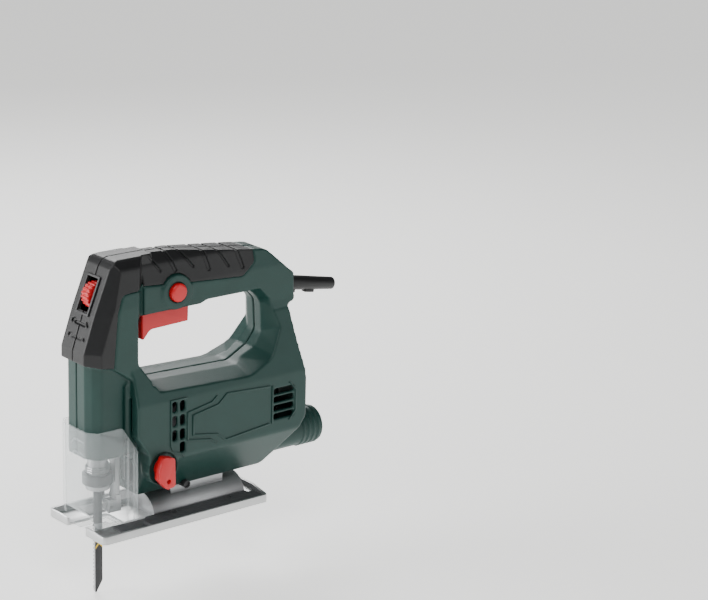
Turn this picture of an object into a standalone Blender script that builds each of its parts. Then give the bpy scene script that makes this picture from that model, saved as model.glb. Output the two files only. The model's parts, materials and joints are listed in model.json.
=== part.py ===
"""Jigsaw power tool: a D-handle saw built from separate casings, motor, gear train, clamp, guard and sole.

Metres, +Z up, +X towards the rear of the tool, +Y towards its right side. Places are measured from the
blade's axis where it crosses the sole's underside. The empty `tool` shifts that point forward, so that the
world's origin lies on solid sole plate just behind the blade slot.
"""

import math

import bmesh
import bpy
from mathutils import Matrix, Vector

MM = 0.001
GAP = 0.3 * MM  # running clearance between neighbours
FIT = 0.35 * MM  # radial clearance of a shaft in its bore

# Frame
ORIGIN_BEHIND_BLADE = 30 * MM

# Sole
SOLE_FRONT_X = -19 * MM
SOLE_REAR_X = 132 * MM
SOLE_HALF_WIDTH = 36.5 * MM
SOLE_THICKNESS = 2.0 * MM
SOLE_RIM_HEIGHT = 6.3 * MM
SOLE_RIM_WALL = 2.0 * MM
SLOT_HALF_WIDTH = 11.5 * MM
SLOT_END_X = 16 * MM
PANEL_THICKNESS = 1.2 * MM
SPLINTER_GAP = 2.4 * MM

# Tilt joint: a half-round bracket that turns about the X axis through the blade's foot
BRACKET_RADIUS = 17 * MM
BRACKET_WALL = 2.2 * MM
BRACKET_FRONT_X = 39 * MM
BRACKET_REAR_X = 122 * MM
SHOE_WALL = 2.4 * MM
TILT_SCREW_X = 82 * MM
TILT_SCREW_RADIUS = 2.5 * MM
TILT_HEAD_RADIUS = 4.4 * MM
TILT_SLOT_HALF_ANGLE = 28

# Casing
WALL = 2.7 * MM
SEAM = 0.15 * MM  # half the gap between the two casing halves
BODY_HALF_WIDTH = 32 * MM
BODY_BOTTOM_Z = 21 * MM
BODY_TOP_Z = 109 * MM
BODY_FRONT_X = 14 * MM
BODY_REAR_X = 168 * MM
KEEL_HALF_WIDTH = 12 * MM
BILGE_Z = 52 * MM
COLUMN_HALF_WIDTH = 20.5 * MM
COLUMN_FRONT_X = -17.7 * MM
COLUMN_BOTTOM_Z = 58 * MM
HOOD_HALF_WIDTH = 24 * MM
HOOD_RIDGE_X = 20 * MM  # where the hood starts to draw in
HANDLE_HALF_WIDTH = 16.5 * MM
HANDLE_TOP_Z = 203.5 * MM
HANDLE_UNDER_Z = 160 * MM
HANDLE_REAR_X = 160 * MM
PILLAR_HALF_WIDTH = 20 * MM
GRIP_THICKNESS = 1.3 * MM
SCOOP_NEAR_Y = 8 * MM  # the hand opening's straight middle ends here
SCOOP_FAR_Y = 40 * MM

# Motor and gears
MOTOR_Z = 76 * MM
MODULE = 1.0 * MM
GEAR_TEETH = 36
PINION_TEETH = 8
GEAR_X = 17.4 * MM
GEAR_WIDTH = 6 * MM
ARMATURE_RADIUS = 14 * MM
STATOR_RADIUS = 21.5 * MM
SHAFT_RADIUS = 3 * MM
CRANK_RADIUS = 9 * MM  # half the saw's stroke
ROLLER_RADIUS = 3.5 * MM
YOKE_PLAY = 2.05 * MM  # lets the slot follow the linear coupling
GEAR_CENTRES = MODULE * (GEAR_TEETH + PINION_TEETH) / 2
BEARING_RADIUS = 8 * MM
REAR_BEARING_X = 118 * MM
AXLE_RADIUS = 4 * MM
LOWER_BUSH_Z = 62 * MM
UPPER_BUSH_Z = 130 * MM
BUSH_RADIUS = 8 * MM

# Plunger, clamp and blade
PLUNGER_RADIUS = 4.75 * MM
PLUNGER_TOP_Z = 150 * MM
PLUNGER_BOTTOM_Z = 48.5 * MM
HOLDER_RADIUS = 7.5 * MM
HOLDER_TOP_Z = 53 * MM
COLLAR_RADIUS = 11.5 * MM
COLLAR_BOTTOM_Z = 33.5 * MM
COLLAR_TOP_Z = 41.5 * MM
BLADE_TIP_Z = -53 * MM
BLADE_LENGTH = 100 * MM
BLADE_FRONT_X = -4.5 * MM
BLADE_WIDTH = 8 * MM
BLADE_THICKNESS = 1.2 * MM
TOOTH_PITCH = 3 * MM
BACKING_ROLLER_RADIUS = 4.2 * MM
BACKING_ROLLER_Z = 13.5 * MM
FORK_PIVOT = (19.5 * MM, 53.5 * MM)

# Controls
TRIGGER_TRAVEL = 5 * MM
BUTTON_X = 58.5 * MM
BUTTON_Z = 172.5 * MM
BUTTON_RADIUS = 7 * MM
BUTTON_TRAVEL = 2.5 * MM
BUTTON_BOSS_RADIUS = 13.2 * MM
WHEEL_RADIUS = 10 * MM
WHEEL_WIDTH = 8.5 * MM
WHEEL_CENTRE = (-0.7 * MM, 176.3 * MM)
LEVER_PIVOT = (36.5 * MM, 46 * MM)
LEVER_BOSS_RADIUS = 7.5 * MM
LEVER_RECESS_RADIUS = 12 * MM

# Dust port and cable
PORT_Z = 38.5 * MM
PORT_RADIUS = 14.2 * MM
PORT_END_X = 200 * MM
PORT_WALL = 2.2 * MM
DUCT_RADIUS = 11.5 * MM
DUCT_FRONT_X = 26 * MM
SLEEVE_START = (174 * MM, 156.5 * MM)
SLEEVE_END = (216 * MM, 149 * MM)
SLEEVE_RADIUS = 5.6 * MM
SLEEVE_BORE = 3.4 * MM

# Guard
GUARD_HALF_WIDTH = COLUMN_HALF_WIDTH + 2 * MM
GUARD_FRONT_X = -20.5 * MM
GUARD_REAR_X = 20 * MM
GUARD_BOTTOM_Z = 7.5 * MM
GUARD_TOP_Z = 80 * MM
GUARD_WALL = 1.8 * MM
GUARD_TRAVEL = 30 * MM

# Casing screws, driven from the right: X, Z and the casing's half-width there
SCREWS = (
    (-PLUNGER_RADIUS - 5.55 * MM, 92 * MM, 15.5 * MM),
    (14.5 * MM, 150 * MM, 24 * MM),
    (96 * MM, 168 * MM, 16.5 * MM),
    (155.5 * MM, 128 * MM, 18.5 * MM),
    (160 * MM, 96 * MM, 28 * MM),
    (129 * MM, 60 * MM, 32 * MM),
)
SCREW_RADIUS = 1.6 * MM
SCREW_HEAD_RADIUS = 3.2 * MM
SCREW_SEAT_DEPTH = 4.5 * MM
SCREW_REACH = 10 * MM
BOSS_RADIUS = 5 * MM

SEGMENTS = 18


# ---------------------------------------------------------------- tools


def clear_scene():
    for old in list(bpy.data.objects):
        bpy.data.objects.remove(old, do_unlink=True)


def material(name, colour, roughness, metallic=0.0, alpha=1.0):
    made = bpy.data.materials.get(name)
    if made:
        return made
    made = bpy.data.materials.new(name)
    made.use_nodes = True
    shader = made.node_tree.nodes["Principled BSDF"]
    shader.inputs["Base Color"].default_value = (*colour, 1)
    shader.inputs["Roughness"].default_value = roughness
    shader.inputs["Metallic"].default_value = metallic
    shader.inputs["Alpha"].default_value = alpha
    made.diffuse_color = (*colour, alpha)
    return made


def add(name, shape, finish=None, parent=None, pivot=(0, 0, 0)):
    """An object of this shape, with its origin on the pivot and its place kept."""
    shape.normal_update()
    mesh = bpy.data.meshes.new(name)
    shape.transform(Matrix.Translation(-Vector(pivot)))
    shape.to_mesh(mesh)
    shape.free()
    made = bpy.data.objects.new(name, mesh)
    bpy.context.scene.collection.objects.link(made)
    made.location = pivot
    if finish:
        mesh.materials.append(finish)
    if parent:
        made.parent = parent
    return made


def combine(target, cutter, operation):
    """The target after an exact Boolean with the cutter, which is then removed."""
    cutter.parent = target.parent
    modifier = target.modifiers.new("combine", "BOOLEAN")
    modifier.operation = operation
    modifier.solver = "EXACT"
    modifier.object = cutter
    bake(target)
    bpy.data.objects.remove(cutter, do_unlink=True)
    return target


def bake(target):
    """The target's mesh with its modifiers applied."""
    depsgraph = bpy.context.evaluated_depsgraph_get()
    depsgraph.update()
    mesh = bpy.data.meshes.new_from_object(target.evaluated_get(depsgraph))
    target.modifiers.clear()
    target.data = mesh


def cut(target, *shapes):
    for shape in shapes:
        combine(target, add("cutter", shape), "DIFFERENCE")
    return target


def join(target, *shapes):
    for shape in shapes:
        combine(target, add("joined", shape), "UNION")
    return target


def keep(target, shape):
    return combine(target, add("kept", shape), "INTERSECT")


def bevel(target, width, segments=1, angle=40):
    modifier = target.modifiers.new("edges", "BEVEL")
    modifier.width = width
    modifier.segments = segments
    modifier.limit_method = "ANGLE"
    modifier.angle_limit = math.radians(angle)
    bake(target)
    return target


def smooth(target):
    for polygon in target.data.polygons:
        polygon.use_smooth = True
    return target


def copy_of(source, name, place=None, turn=None):
    made = source.copy()
    made.name = name
    bpy.context.scene.collection.objects.link(made)
    if place:
        made.location = place
    if turn:
        made.rotation_euler = turn
    return made


def arc(centre, radius, start, end, steps):
    """Points on a circle, from one angle in degrees to another."""
    return [
        (
            centre[0] + radius * math.cos(math.radians(start + (end - start) * i / steps)),
            centre[1] + radius * math.sin(math.radians(start + (end - start) * i / steps)),
        )
        for i in range(steps + 1)
    ]


def rounded(corners, radius, steps=3):
    """The outline with each corner made into an arc; a corner may name its own radius."""
    outline = []
    count = len(corners)
    for i, corner in enumerate(corners):
        here = Vector(corner[:2])
        before = Vector(corners[i - 1][:2]) - here
        after = Vector(corners[(i + 1) % count][:2]) - here
        size = corner[2] if len(corner) > 2 else radius
        opening = before.angle(after)
        if size <= 0 or opening > math.radians(175):
            outline.append(tuple(here))
            continue
        reach = min(size / math.tan(opening / 2), 0.49 * before.length, 0.49 * after.length)
        first = here + before.normalized() * reach
        last = here + after.normalized() * reach
        for k in range(steps + 1):
            t = k / steps
            point = first * (1 - t) ** 2 + here * 2 * t * (1 - t) + last * t**2
            outline.append(tuple(point))
    return outline


def prism(outline, low, high, plane="XZ"):
    """A solid with this outline, extruded along the axis that the plane leaves out."""
    places = {
        "XZ": lambda a, b, t: (a, t, b),
        "XY": lambda a, b, t: (a, b, t),
        "YZ": lambda a, b, t: (t, a, b),
    }[plane]
    shape = bmesh.new()
    bottom = shape.faces.new([shape.verts.new(places(a, b, low)) for a, b in outline])
    grown = bmesh.ops.extrude_face_region(shape, geom=[bottom])
    top = [item for item in grown["geom"] if isinstance(item, bmesh.types.BMVert)]
    along = Vector(places(0, 0, 1)) - Vector(places(0, 0, 0))
    bmesh.ops.translate(shape, verts=top, vec=along * (high - low))
    bmesh.ops.recalc_face_normals(shape, faces=shape.faces)
    return shape


def box(low, high):
    corners = [(low[0], low[1]), (high[0], low[1]), (high[0], high[1]), (low[0], high[1])]
    return prism(corners, low[2], high[2], "XY")


def lathe(profile, centre, axis="Z", steps=SEGMENTS):
    """A closed ring or disc: (radius, place along the axis) points turned about the axis."""
    shape = bmesh.new()
    rings = []
    for radius, along in profile:
        if radius <= 0:
            rings.append([shape.verts.new((0, 0, along))])
            continue
        ring = []
        for i in range(steps):
            turn = 2 * math.pi * i / steps
            ring.append(shape.verts.new((radius * math.cos(turn), radius * math.sin(turn), along)))
        rings.append(ring)
    closed = profile[0][0] > 0 and profile[-1][0] > 0
    pairs = list(zip(rings, rings[1:]))
    if closed:
        pairs.append((rings[-1], rings[0]))
    for first, second in pairs:
        for i in range(steps):
            j = (i + 1) % steps
            corners = [first[i % len(first)], first[j % len(first)]]
            corners += [second[j % len(second)], second[i % len(second)]]
            unique = list(dict.fromkeys(corners))
            if len(unique) > 2:
                shape.faces.new(unique)
    bmesh.ops.recalc_face_normals(shape, faces=shape.faces)
    turned = {
        "Z": Matrix.Identity(4),
        "X": Matrix.Rotation(math.radians(90), 4, "Y"),
        "Y": Matrix.Rotation(math.radians(-90), 4, "X"),
    }[axis]
    shape.transform(Matrix.Translation(centre) @ turned)
    return shape


def rod(centre, radius, low, high, axis="Z", steps=SEGMENTS):
    return lathe([(0, low), (radius, low), (radius, high), (0, high)], centre, axis, steps)


def tube(centre, bore, radius, low, high, axis="Z", steps=SEGMENTS):
    profile = [(bore, low), (radius, low), (radius, high), (bore, high)]
    return lathe(profile, centre, axis, steps)


def between(start, end, shape_of, turn_steps=SEGMENTS):
    """A lathed shape whose axis runs from one XZ point to another on the middle plane."""
    path = Vector((end[0] - start[0], 0, end[1] - start[1]))
    shape = shape_of(path.length, turn_steps)
    turn = Vector((0, 0, 1)).rotation_difference(path).to_matrix().to_4x4()
    shape.transform(Matrix.Translation((start[0], 0, start[1])) @ turn)
    return shape


def coil(centre, radius, wire, length, turns, axis="Z", steps=12, sides=5):
    """A helical spring of round wire."""
    shape = bmesh.new()
    count = int(turns * steps)
    rings = []
    for i in range(count + 1):
        turn = 2 * math.pi * i / steps
        out = Vector((math.cos(turn), math.sin(turn), 0))
        middle = out * radius + Vector((0, 0, length * i / count))
        ring = []
        for k in range(sides):
            lean = 2 * math.pi * k / sides
            ring.append(shape.verts.new(middle + out * wire * math.cos(lean) + Vector((0, 0, wire * math.sin(lean)))))
        rings.append(ring)
    for first, second in zip(rings, rings[1:]):
        for k in range(sides):
            m = (k + 1) % sides
            shape.faces.new([first[k], first[m], second[m], second[k]])
    shape.faces.new(rings[0])
    shape.faces.new(rings[-1])
    bmesh.ops.recalc_face_normals(shape, faces=shape.faces)
    turned = {
        "Z": Matrix.Identity(4),
        "X": Matrix.Rotation(math.radians(90), 4, "Y"),
        "Y": Matrix.Rotation(math.radians(-90), 4, "X"),
    }[axis]
    shape.transform(Matrix.Translation(centre) @ turned)
    return shape


# ---------------------------------------------------------------- finishes


def finishes():
    return {
        "casing": material("casing_green", (0.02, 0.09, 0.075), 0.55),
        "grip": material("grip_black", (0.02, 0.022, 0.024), 0.75),
        "red": material("control_red", (0.55, 0.03, 0.03), 0.45),
        "clear": material("clear_plastic", (0.75, 0.8, 0.82), 0.1, alpha=0.35),
        "steel": material("bright_steel", (0.62, 0.63, 0.64), 0.3, 1.0),
        "zinc": material("cast_zinc", (0.55, 0.56, 0.57), 0.45, 1.0),
        "panel": material("panel_grey", (0.08, 0.085, 0.09), 0.6),
        "blade": material("blade_black", (0.03, 0.03, 0.032), 0.4, 0.6),
        "copper": material("copper", (0.7, 0.3, 0.15), 0.35, 1.0),
        "iron": material("core_iron", (0.3, 0.3, 0.31), 0.5, 1.0),
        "dark": material("dark_plastic", (0.03, 0.03, 0.035), 0.5),
        "carbon": material("carbon", (0.02, 0.02, 0.02), 0.8),
    }


# ---------------------------------------------------------------- casing outlines


def facets(inset, steps):
    """Round corners are coarser inside the casing, where nobody sees them."""
    return 1 if inset > WALL / 2 + 1e-6 and inset > GRIP_THICKNESS + GAP else steps


def body_outline(inset=0.0):
    """The wide lower body seen from the side."""
    front = BODY_FRONT_X + inset
    rear = BODY_REAR_X - inset
    top = BODY_TOP_Z - inset
    bottom = BODY_BOTTOM_Z + inset
    corners = [
        (front, 73 * MM + inset, 2 * MM),
        (front, top + 28 * MM, 1 * MM),
        (28 * MM - inset, top + 28 * MM, 1 * MM),
        (29.6 * MM - inset, top, 1 * MM),
        (116 * MM, top - 3 * MM, 8 * MM),
        (133.8 * MM + inset, top + 6.5 * MM, 4 * MM),
        (141.8 * MM + inset, top + 17 * MM, 2 * MM),
        (143 * MM + inset, top + 34 * MM, 0),
        (rear - 6.8 * MM, top + 34 * MM, 0),
        (rear - 4.5 * MM, top + 12 * MM, 6 * MM),
        (rear, 90 * MM, 6 * MM),
        (rear, 60 * MM, 6 * MM),
        (150 * MM - inset, 34 * MM, 6 * MM),
        (140 * MM - inset, bottom, 6 * MM),
        (26 * MM + inset, bottom, 2 * MM),
        (24 * MM + inset, 50 * MM, 4 * MM),
        (24 * MM + inset, 58 * MM + inset, 2 * MM),
    ]
    return rounded(corners, 3 * MM, facets(inset, 2))


def body_section(inset=0.0):
    """The lower body seen from the rear: a keel that widens to the full width, with rounded shoulders."""
    wide = BODY_HALF_WIDTH - inset
    keel = KEEL_HALF_WIDTH - inset
    bottom = BODY_BOTTOM_Z + inset
    side = [
        (keel, bottom, 1.5 * MM),
        (wide, BILGE_Z + 0.4 * inset, 6 * MM),
        (wide, 97 * MM, 8 * MM),
        (wide - 15 * MM, 146 * MM, 0),
    ]
    mirrored = [(-a, b, r) for a, b, r in reversed(side)]
    return rounded(side + mirrored, 3 * MM, facets(inset, 3))


def column_plan(inset=0.0):
    """The gear column seen from above."""
    wide = COLUMN_HALF_WIDTH - inset
    front = COLUMN_FRONT_X + inset
    rear = BODY_FRONT_X + 6 * MM
    corners = [
        (front, -10 * MM, 0),
        (front + 3 * MM, 5 * MM - wide, 2 * MM),
        (front + 8 * MM, -wide, 2 * MM),
        (rear, -wide, 0),
        (rear, wide, 0),
        (front + 8 * MM, wide, 2 * MM),
        (front + 3 * MM, wide - 5 * MM, 2 * MM),
        (front, 10 * MM, 0),
    ]
    return rounded(corners, 0, 1)


def hood_outline(inset=0.0):
    """The upper column and the front of the handle seen from the side."""
    corners = [
        (-21 * MM + inset, 130 * MM + inset, 2 * MM),
        (-2 * MM, 127 * MM + inset, 4 * MM),
        (30 * MM - inset, 104 * MM + inset, 2 * MM),
        (30 * MM - inset, 112 * MM, 0),
        (29 * MM - inset, 150 * MM, 4 * MM),
        (40 * MM - inset, 160 * MM + inset, 3 * MM),
        (40 * MM - inset, HANDLE_TOP_Z - inset, 0),
        (6 * MM, HANDLE_TOP_Z - inset, 8 * MM),
        (1.5 * MM + inset, 198 * MM - inset, 3 * MM),
        (-11.5 * MM + inset, 166 * MM, 0),
        (-20.8 * MM + inset, 139 * MM, 2 * MM),
    ]
    return rounded(corners, 2 * MM, facets(inset, 2))


def hood_plan(inset=0.0):
    """The hood seen from above: straight sides that draw in towards the handle."""
    wide = HOOD_HALF_WIDTH - inset
    front = -40 * MM
    ridge = HOOD_RIDGE_X - 0.4 * inset
    neck = 31 * MM - 0.4 * inset
    narrow = HANDLE_HALF_WIDTH - 5 * MM - inset
    return [
        (front, -wide),
        (ridge, -wide),
        (neck, -narrow),
        (42 * MM, -narrow),
        (42 * MM, narrow),
        (neck, narrow),
        (ridge, wide),
        (front, wide),
    ]


def hood_section(inset=0.0):
    """The hood seen from the front, with its rounded top."""
    wide = HOOD_HALF_WIDTH - inset
    top = HANDLE_TOP_Z + 1 * MM - inset
    side = [
        (wide, 100 * MM, 0),
        (wide, 170 * MM, 10 * MM),
        (wide - 3.5 * MM, top - 7 * MM, 7 * MM),
        (wide - 12 * MM, top, 10 * MM),
    ]
    mirrored = [(-a, b, r) for a, b, r in reversed(side)]
    return rounded(side + mirrored, 3 * MM, facets(inset, 3))


def handle_outline(inset=0.0):
    """The handle bar and rear pillar seen from the side: the upper half of the D."""
    rear = HANDLE_REAR_X - inset
    corners = [
        (30 * MM, HANDLE_TOP_Z - inset, 0),
        (60 * MM, HANDLE_TOP_Z - 1.5 * MM - inset, 20 * MM),
        (100 * MM, 196.5 * MM - inset, 20 * MM),
        (142 * MM, 191 * MM - inset, 10 * MM),
        (rear, 174.5 * MM, 6 * MM),
        (rear + 6 * MM, 170 * MM - 0.5 * inset, 2 * MM),
        (rear + 7 * MM, 148 * MM + 0.5 * inset, 2 * MM),
        (rear, 146 * MM, 5 * MM),
        (rear + 4 * MM, 122 * MM, 10 * MM),
        (rear + 8 * MM, 90 * MM, 0),
        (117 * MM + inset, 88 * MM, 0),
        (119 * MM + inset, 97 * MM, 0),
        (133.8 * MM + inset, 115 * MM - inset, 5 * MM),
        (141.8 * MM + inset, 126 * MM, 8 * MM),
        (140.4 * MM + inset, 150 * MM, 8 * MM),
        (131 * MM, HANDLE_UNDER_Z + inset, 8 * MM),
        (85 * MM, HANDLE_UNDER_Z + inset, 4 * MM),
        (80 * MM, HANDLE_UNDER_Z - 3 * MM + inset, 3 * MM),
        (30 * MM, HANDLE_UNDER_Z - 3 * MM + inset, 0),
    ]
    return rounded(corners, 4 * MM, facets(inset, 2))


def handle_section(inset=0.0):
    """The handle seen from the rear."""
    wide = HANDLE_HALF_WIDTH - inset
    foot = PILLAR_HALF_WIDTH - inset
    top = HANDLE_TOP_Z + 1.5 * MM - inset
    side = [
        (foot + 4 * MM, 88 * MM, 0),
        (foot, 118 * MM, 10 * MM),
        (wide, 150 * MM, 10 * MM),
        (wide, 178 * MM, 8 * MM),
        (wide - 4 * MM, 195 * MM, 8 * MM),
        (wide - 12 * MM, top, 6 * MM),
    ]
    mirrored = [(-a, b, r) for a, b, r in reversed(side)]
    return rounded(side + mirrored, 4 * MM, facets(inset, 2))


def taper(near, far, low, high):
    """A solid whose outline changes from one end of its depth along Y to the other."""
    shape = bmesh.new()
    ends = []
    for outline, depth in ((near, low), (far, high)):
        ends.append([shape.verts.new((x, depth, z)) for x, z in outline])
    count = len(near)
    shape.faces.new(ends[0])
    shape.faces.new(ends[1])
    for i in range(count):
        k = (i + 1) % count
        shape.faces.new([ends[0][i], ends[0][k], ends[1][k], ends[1][i]])
    bmesh.ops.triangulate(shape, faces=shape.faces)
    bmesh.ops.recalc_face_normals(shape, faces=shape.faces)
    return shape


def widened(outline, amount):
    """The outline with every corner moved outwards, square to its neighbours."""
    moved = []
    count = len(outline)
    for i in range(count):
        before, after = Vector(outline[i - 1]), Vector(outline[(i + 1) % count])
        along = (after - before).normalized()
        moved.append((outline[i][0] + along.y * amount, outline[i][1] - along.x * amount))
    return moved


def scoop_outlines(inset=0.0):
    """The edge of the hand opening, and the wider edge that its scooped sides flare out to."""
    opening = [(30.3, 157.3), (30.3, 111), (40, 109.8), (116, 107.5), (121.5, 109), (133.5, 116.2),
               (141.4, 126), (140, 150), (131, 159.5), (86, 159.5), (80, 157.3)]
    flare = [(13.3, 164), (13.3, 137), (38, 103), (113, 100.5), (119, 101.5), (140, 110),
             (157, 134), (151, 160), (142, 168), (88, 168), (80, 165.5)]
    reach = (SCOOP_FAR_Y - SCOOP_NEAR_Y) / (BODY_HALF_WIDTH + 1 * MM - SCOOP_NEAR_Y)
    near = [(x * MM, z * MM) for x, z in opening]
    far = []
    for (x, z), (wide_x, wide_z) in zip(opening, flare):
        far.append(((x + (wide_x - x) * reach) * MM, (z + (wide_z - z) * reach) * MM))
    return widened(near, 1.15 * inset), widened(far, 1.15 * inset)


def scoop(side, inset=0.0):
    """What is scooped out of one side around the hand opening."""
    near, far = scoop_outlines(inset)
    return taper(near, far, side * SCOOP_NEAR_Y, side * SCOOP_FAR_Y)


def leaning(plan, path):
    """A solid whose plan outline is carried up a leaning path of X and Z."""
    shape = bmesh.new()
    rings = []
    for x, z in path:
        rings.append([shape.verts.new((a + x, b, z)) for a, b in plan])
    shape.faces.new(rings[0])
    shape.faces.new(rings[-1])
    for lower, upper in zip(rings, rings[1:]):
        for i in range(len(plan)):
            k = (i + 1) % len(plan)
            shape.faces.new([lower[i], lower[k], upper[k], upper[i]])
    bmesh.ops.recalc_face_normals(shape, faces=shape.faces)
    return shape


def nose(inset=0.0):
    """The room left between the sloped cheeks on either side of the hood's front panel."""
    lead = 1.38 * inset
    narrow, wide = 12.4 * MM, 35.6 * MM
    front = -2 * MM + lead
    plan = [(front, -narrow), (front + 22 * MM, -wide), (90 * MM, -wide),
            (90 * MM, wide), (front + 22 * MM, wide), (front, narrow)]
    line = [(-21, 100), (-21, 124), (-20.8, 139), (-11.5, 166), (1.5, 198), (8, 214)]
    return leaning(plan, [(x * MM, z * MM) for x, z in line])


def casing_solid(inset=0.0):
    """The casing's outer form, or with an inset the hollow inside it."""
    wide = 60 * MM
    body = add("body_form", prism(body_outline(inset), -wide, wide))
    keep(body, prism(body_section(inset), -wide, 250 * MM, "YZ"))
    low = COLUMN_BOTTOM_Z + inset
    column = add("column_form", prism(column_plan(inset), low, 132 * MM, "XY"))
    hood = add("hood_form", prism(hood_outline(inset), -wide, wide))
    keep(hood, prism(hood_plan(inset), 90 * MM, 230 * MM, "XY"))
    keep(hood, prism(hood_section(inset), -wide, 250 * MM, "YZ"))
    keep(hood, nose(inset))
    handle = add("handle_form", prism(handle_outline(inset), -wide, wide))
    keep(handle, prism(handle_section(inset), -wide, 250 * MM, "YZ"))
    combine(body, column, "UNION")
    combine(body, hood, "UNION")
    combine(body, handle, "UNION")
    return cut(body, scoop(-1, inset), scoop(1, inset))


# ---------------------------------------------------------------- casing openings


def half(target, side):
    """The part of the target on one side of the seam."""
    if side < 0:
        return keep(target, box((-100 * MM, -90 * MM, -90 * MM), (260 * MM, -SEAM, 260 * MM)))
    return keep(target, box((-100 * MM, SEAM, -90 * MM), (260 * MM, 90 * MM, 260 * MM)))


def vent_boxes(side):
    """Front and rear cooling slots on one side."""
    low = 24 * MM if side > 0 else -40 * MM
    high = 40 * MM if side > 0 else -24 * MM
    slots = []
    for column, rows in ((44 * MM, (87, 76, 65)), (51 * MM, (87, 76, 65, 55))):
        for row in rows:
            slots.append(box((column, low, row * MM), (column + 4.5 * MM, high, (row + 8) * MM)))
    for row in range(4):
        bottom = (62.5 + 6.6 * row) * MM
        slots.append(box((137 * MM, low, bottom), (156 * MM, high, bottom + 4.6 * MM)))
    return slots


def wheel_window():
    """A square opening in the hood's front panel for the speed wheel."""
    half_width = WHEEL_WIDTH / 2 + 2.2 * MM
    corners = [(-18.9 * MM, 170 * MM), (-9.4 * MM, 193.5 * MM), (3.6 * MM, 188.2 * MM), (-5.9 * MM, 164.7 * MM)]
    return prism(corners, -half_width, half_width)


def tunnels():
    """Every round way into the casing that crosses the seam."""
    sleeve = lambda length, steps: rod((0, 0, 0), SLEEVE_RADIUS + GAP, -26 * MM, length, "Z", steps)
    return [
        rod((0, 0, 0), PLUNGER_RADIUS + 3 * MM, 50 * MM, 62 * MM, "Z"),
        rod((0, 0, PORT_Z), DUCT_RADIUS + GAP, 10 * MM, 152 * MM, "X"),
        rod((0, 0, PORT_Z), PORT_RADIUS + GAP, 140.5 * MM, 175 * MM, "X"),
        between(SLEEVE_START, SLEEVE_END, sleeve),
    ]


def trigger_slot():
    return box((31.9 * MM, -10.5 * MM, 148 * MM), (76 * MM, 10.5 * MM, 166 * MM))


def casing(parts, tool, finish):
    """The two halves, hollow inside, with their vents and openings."""
    outer = casing_solid()
    combine(outer, casing_solid(WALL), "DIFFERENCE")
    recess = add("recess", grip_region(GAP))
    combine(recess, casing_solid(GRIP_THICKNESS + GAP), "DIFFERENCE")
    combine(outer, recess, "DIFFERENCE")
    join(outer, *partitions())
    cut(outer, *partition_bores(), *tunnels(), trigger_slot(), wheel_window())
    for side, name in ((-1, "housing_left"), (1, "housing_right")):
        shell = outer.copy()
        shell.data = outer.data.copy()
        bpy.context.scene.collection.objects.link(shell)
        shell.name = name
        half(shell, side)
        if side < 0:
            join(shell, *control_pads())
        cut(shell, *vent_boxes(side), *side_cuts(side), *guard_slot(side))
        shell.data.materials.clear()
        shell.data.materials.append(finish)
        shell.parent = tool
        parts[name] = shell
    bpy.data.objects.remove(outer, do_unlink=True)


def partitions():
    """Walls inside the casing that hold the bearings, the gear axle and the plunger's bushes, and screw bosses."""
    reach = BODY_HALF_WIDTH - 1 * MM
    front = prism([(-reach, 56 * MM), (reach, 56 * MM), (reach, 90 * MM), (20 * MM, 112 * MM),
                   (-20 * MM, 112 * MM), (-reach, 90 * MM)], 25.5 * MM, 29.5 * MM, "YZ")
    rear = prism([(-reach, 56 * MM), (reach, 56 * MM), (reach, 88 * MM), (20 * MM, 100 * MM),
                  (-20 * MM, 100 * MM), (-reach, 88 * MM)], REAR_BEARING_X + 1 * MM, REAR_BEARING_X + 5 * MM, "YZ")
    wide = HOOD_HALF_WIDTH - GRIP_THICKNESS - 0.8 * MM
    lower = prism(column_plan(1 * MM), LOWER_BUSH_Z + 3 * MM, LOWER_BUSH_Z + 6 * MM, "XY")
    shelf = [(-18.8 * MM, -13 * MM), (-11 * MM, -wide), (17 * MM, -wide), (26.5 * MM, -10 * MM),
             (26.5 * MM, 10 * MM), (17 * MM, wide), (-11 * MM, wide), (-18.8 * MM, 13 * MM)]
    upper = prism(shelf, UPPER_BUSH_Z + 4 * MM, UPPER_BUSH_Z + 7 * MM, "XY")
    walls = [front, rear, lower, upper]
    for side in (-1, 1):
        low, high = sorted((side * 5 * MM, side * 10.4 * MM))
        walls.append(box((16 * MM, low, 49.5 * MM), (26.2 * MM, high, 60 * MM)))
    for x, z, wide in SCREWS:
        walls.append(rod((x, 0, z), BOSS_RADIUS, 1.2 * MM - wide, wide - 1.2 * MM, "Y", 14))
    return walls


def partition_bores():
    """Seats for the bearings, the gear axle and the bushes, cut through the walls."""
    gear_z = MOTOR_Z + GEAR_CENTRES
    bores = [
        rod((0, 0, MOTOR_Z), BEARING_RADIUS + 0.1 * MM, 24.5 * MM, 31 * MM, "X"),
        rod((0, 0, MOTOR_Z), BEARING_RADIUS + 0.1 * MM, REAR_BEARING_X, REAR_BEARING_X + 7 * MM, "X"),
        rod((0, 0, gear_z), AXLE_RADIUS + 0.1 * MM, 24 * MM, 31 * MM, "X"),
        rod((FORK_PIVOT[0], 0, FORK_PIVOT[1]), 1.5 * MM, -14 * MM, 14 * MM, "Y", 12),
        rod((0, 0, 0), BUSH_RADIUS + 0.1 * MM, LOWER_BUSH_Z, LOWER_BUSH_Z + 10 * MM),
        rod((0, 0, 0), BUSH_RADIUS + 0.1 * MM, UPPER_BUSH_Z, UPPER_BUSH_Z + 10 * MM),
    ]
    for x, z, wide in SCREWS:
        shank, head, seat = SCREW_RADIUS + 0.2 * MM, SCREW_HEAD_RADIUS + GAP, wide - SCREW_SEAT_DEPTH
        profile = [(0, -SCREW_REACH - 1 * MM), (shank, -SCREW_REACH - 1 * MM), (shank, seat), (head, seat),
                   (head, 50 * MM), (0, 50 * MM)]
        bores.append(lathe(profile, (x, 0, z), "Y", 12))
    return bores


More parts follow.
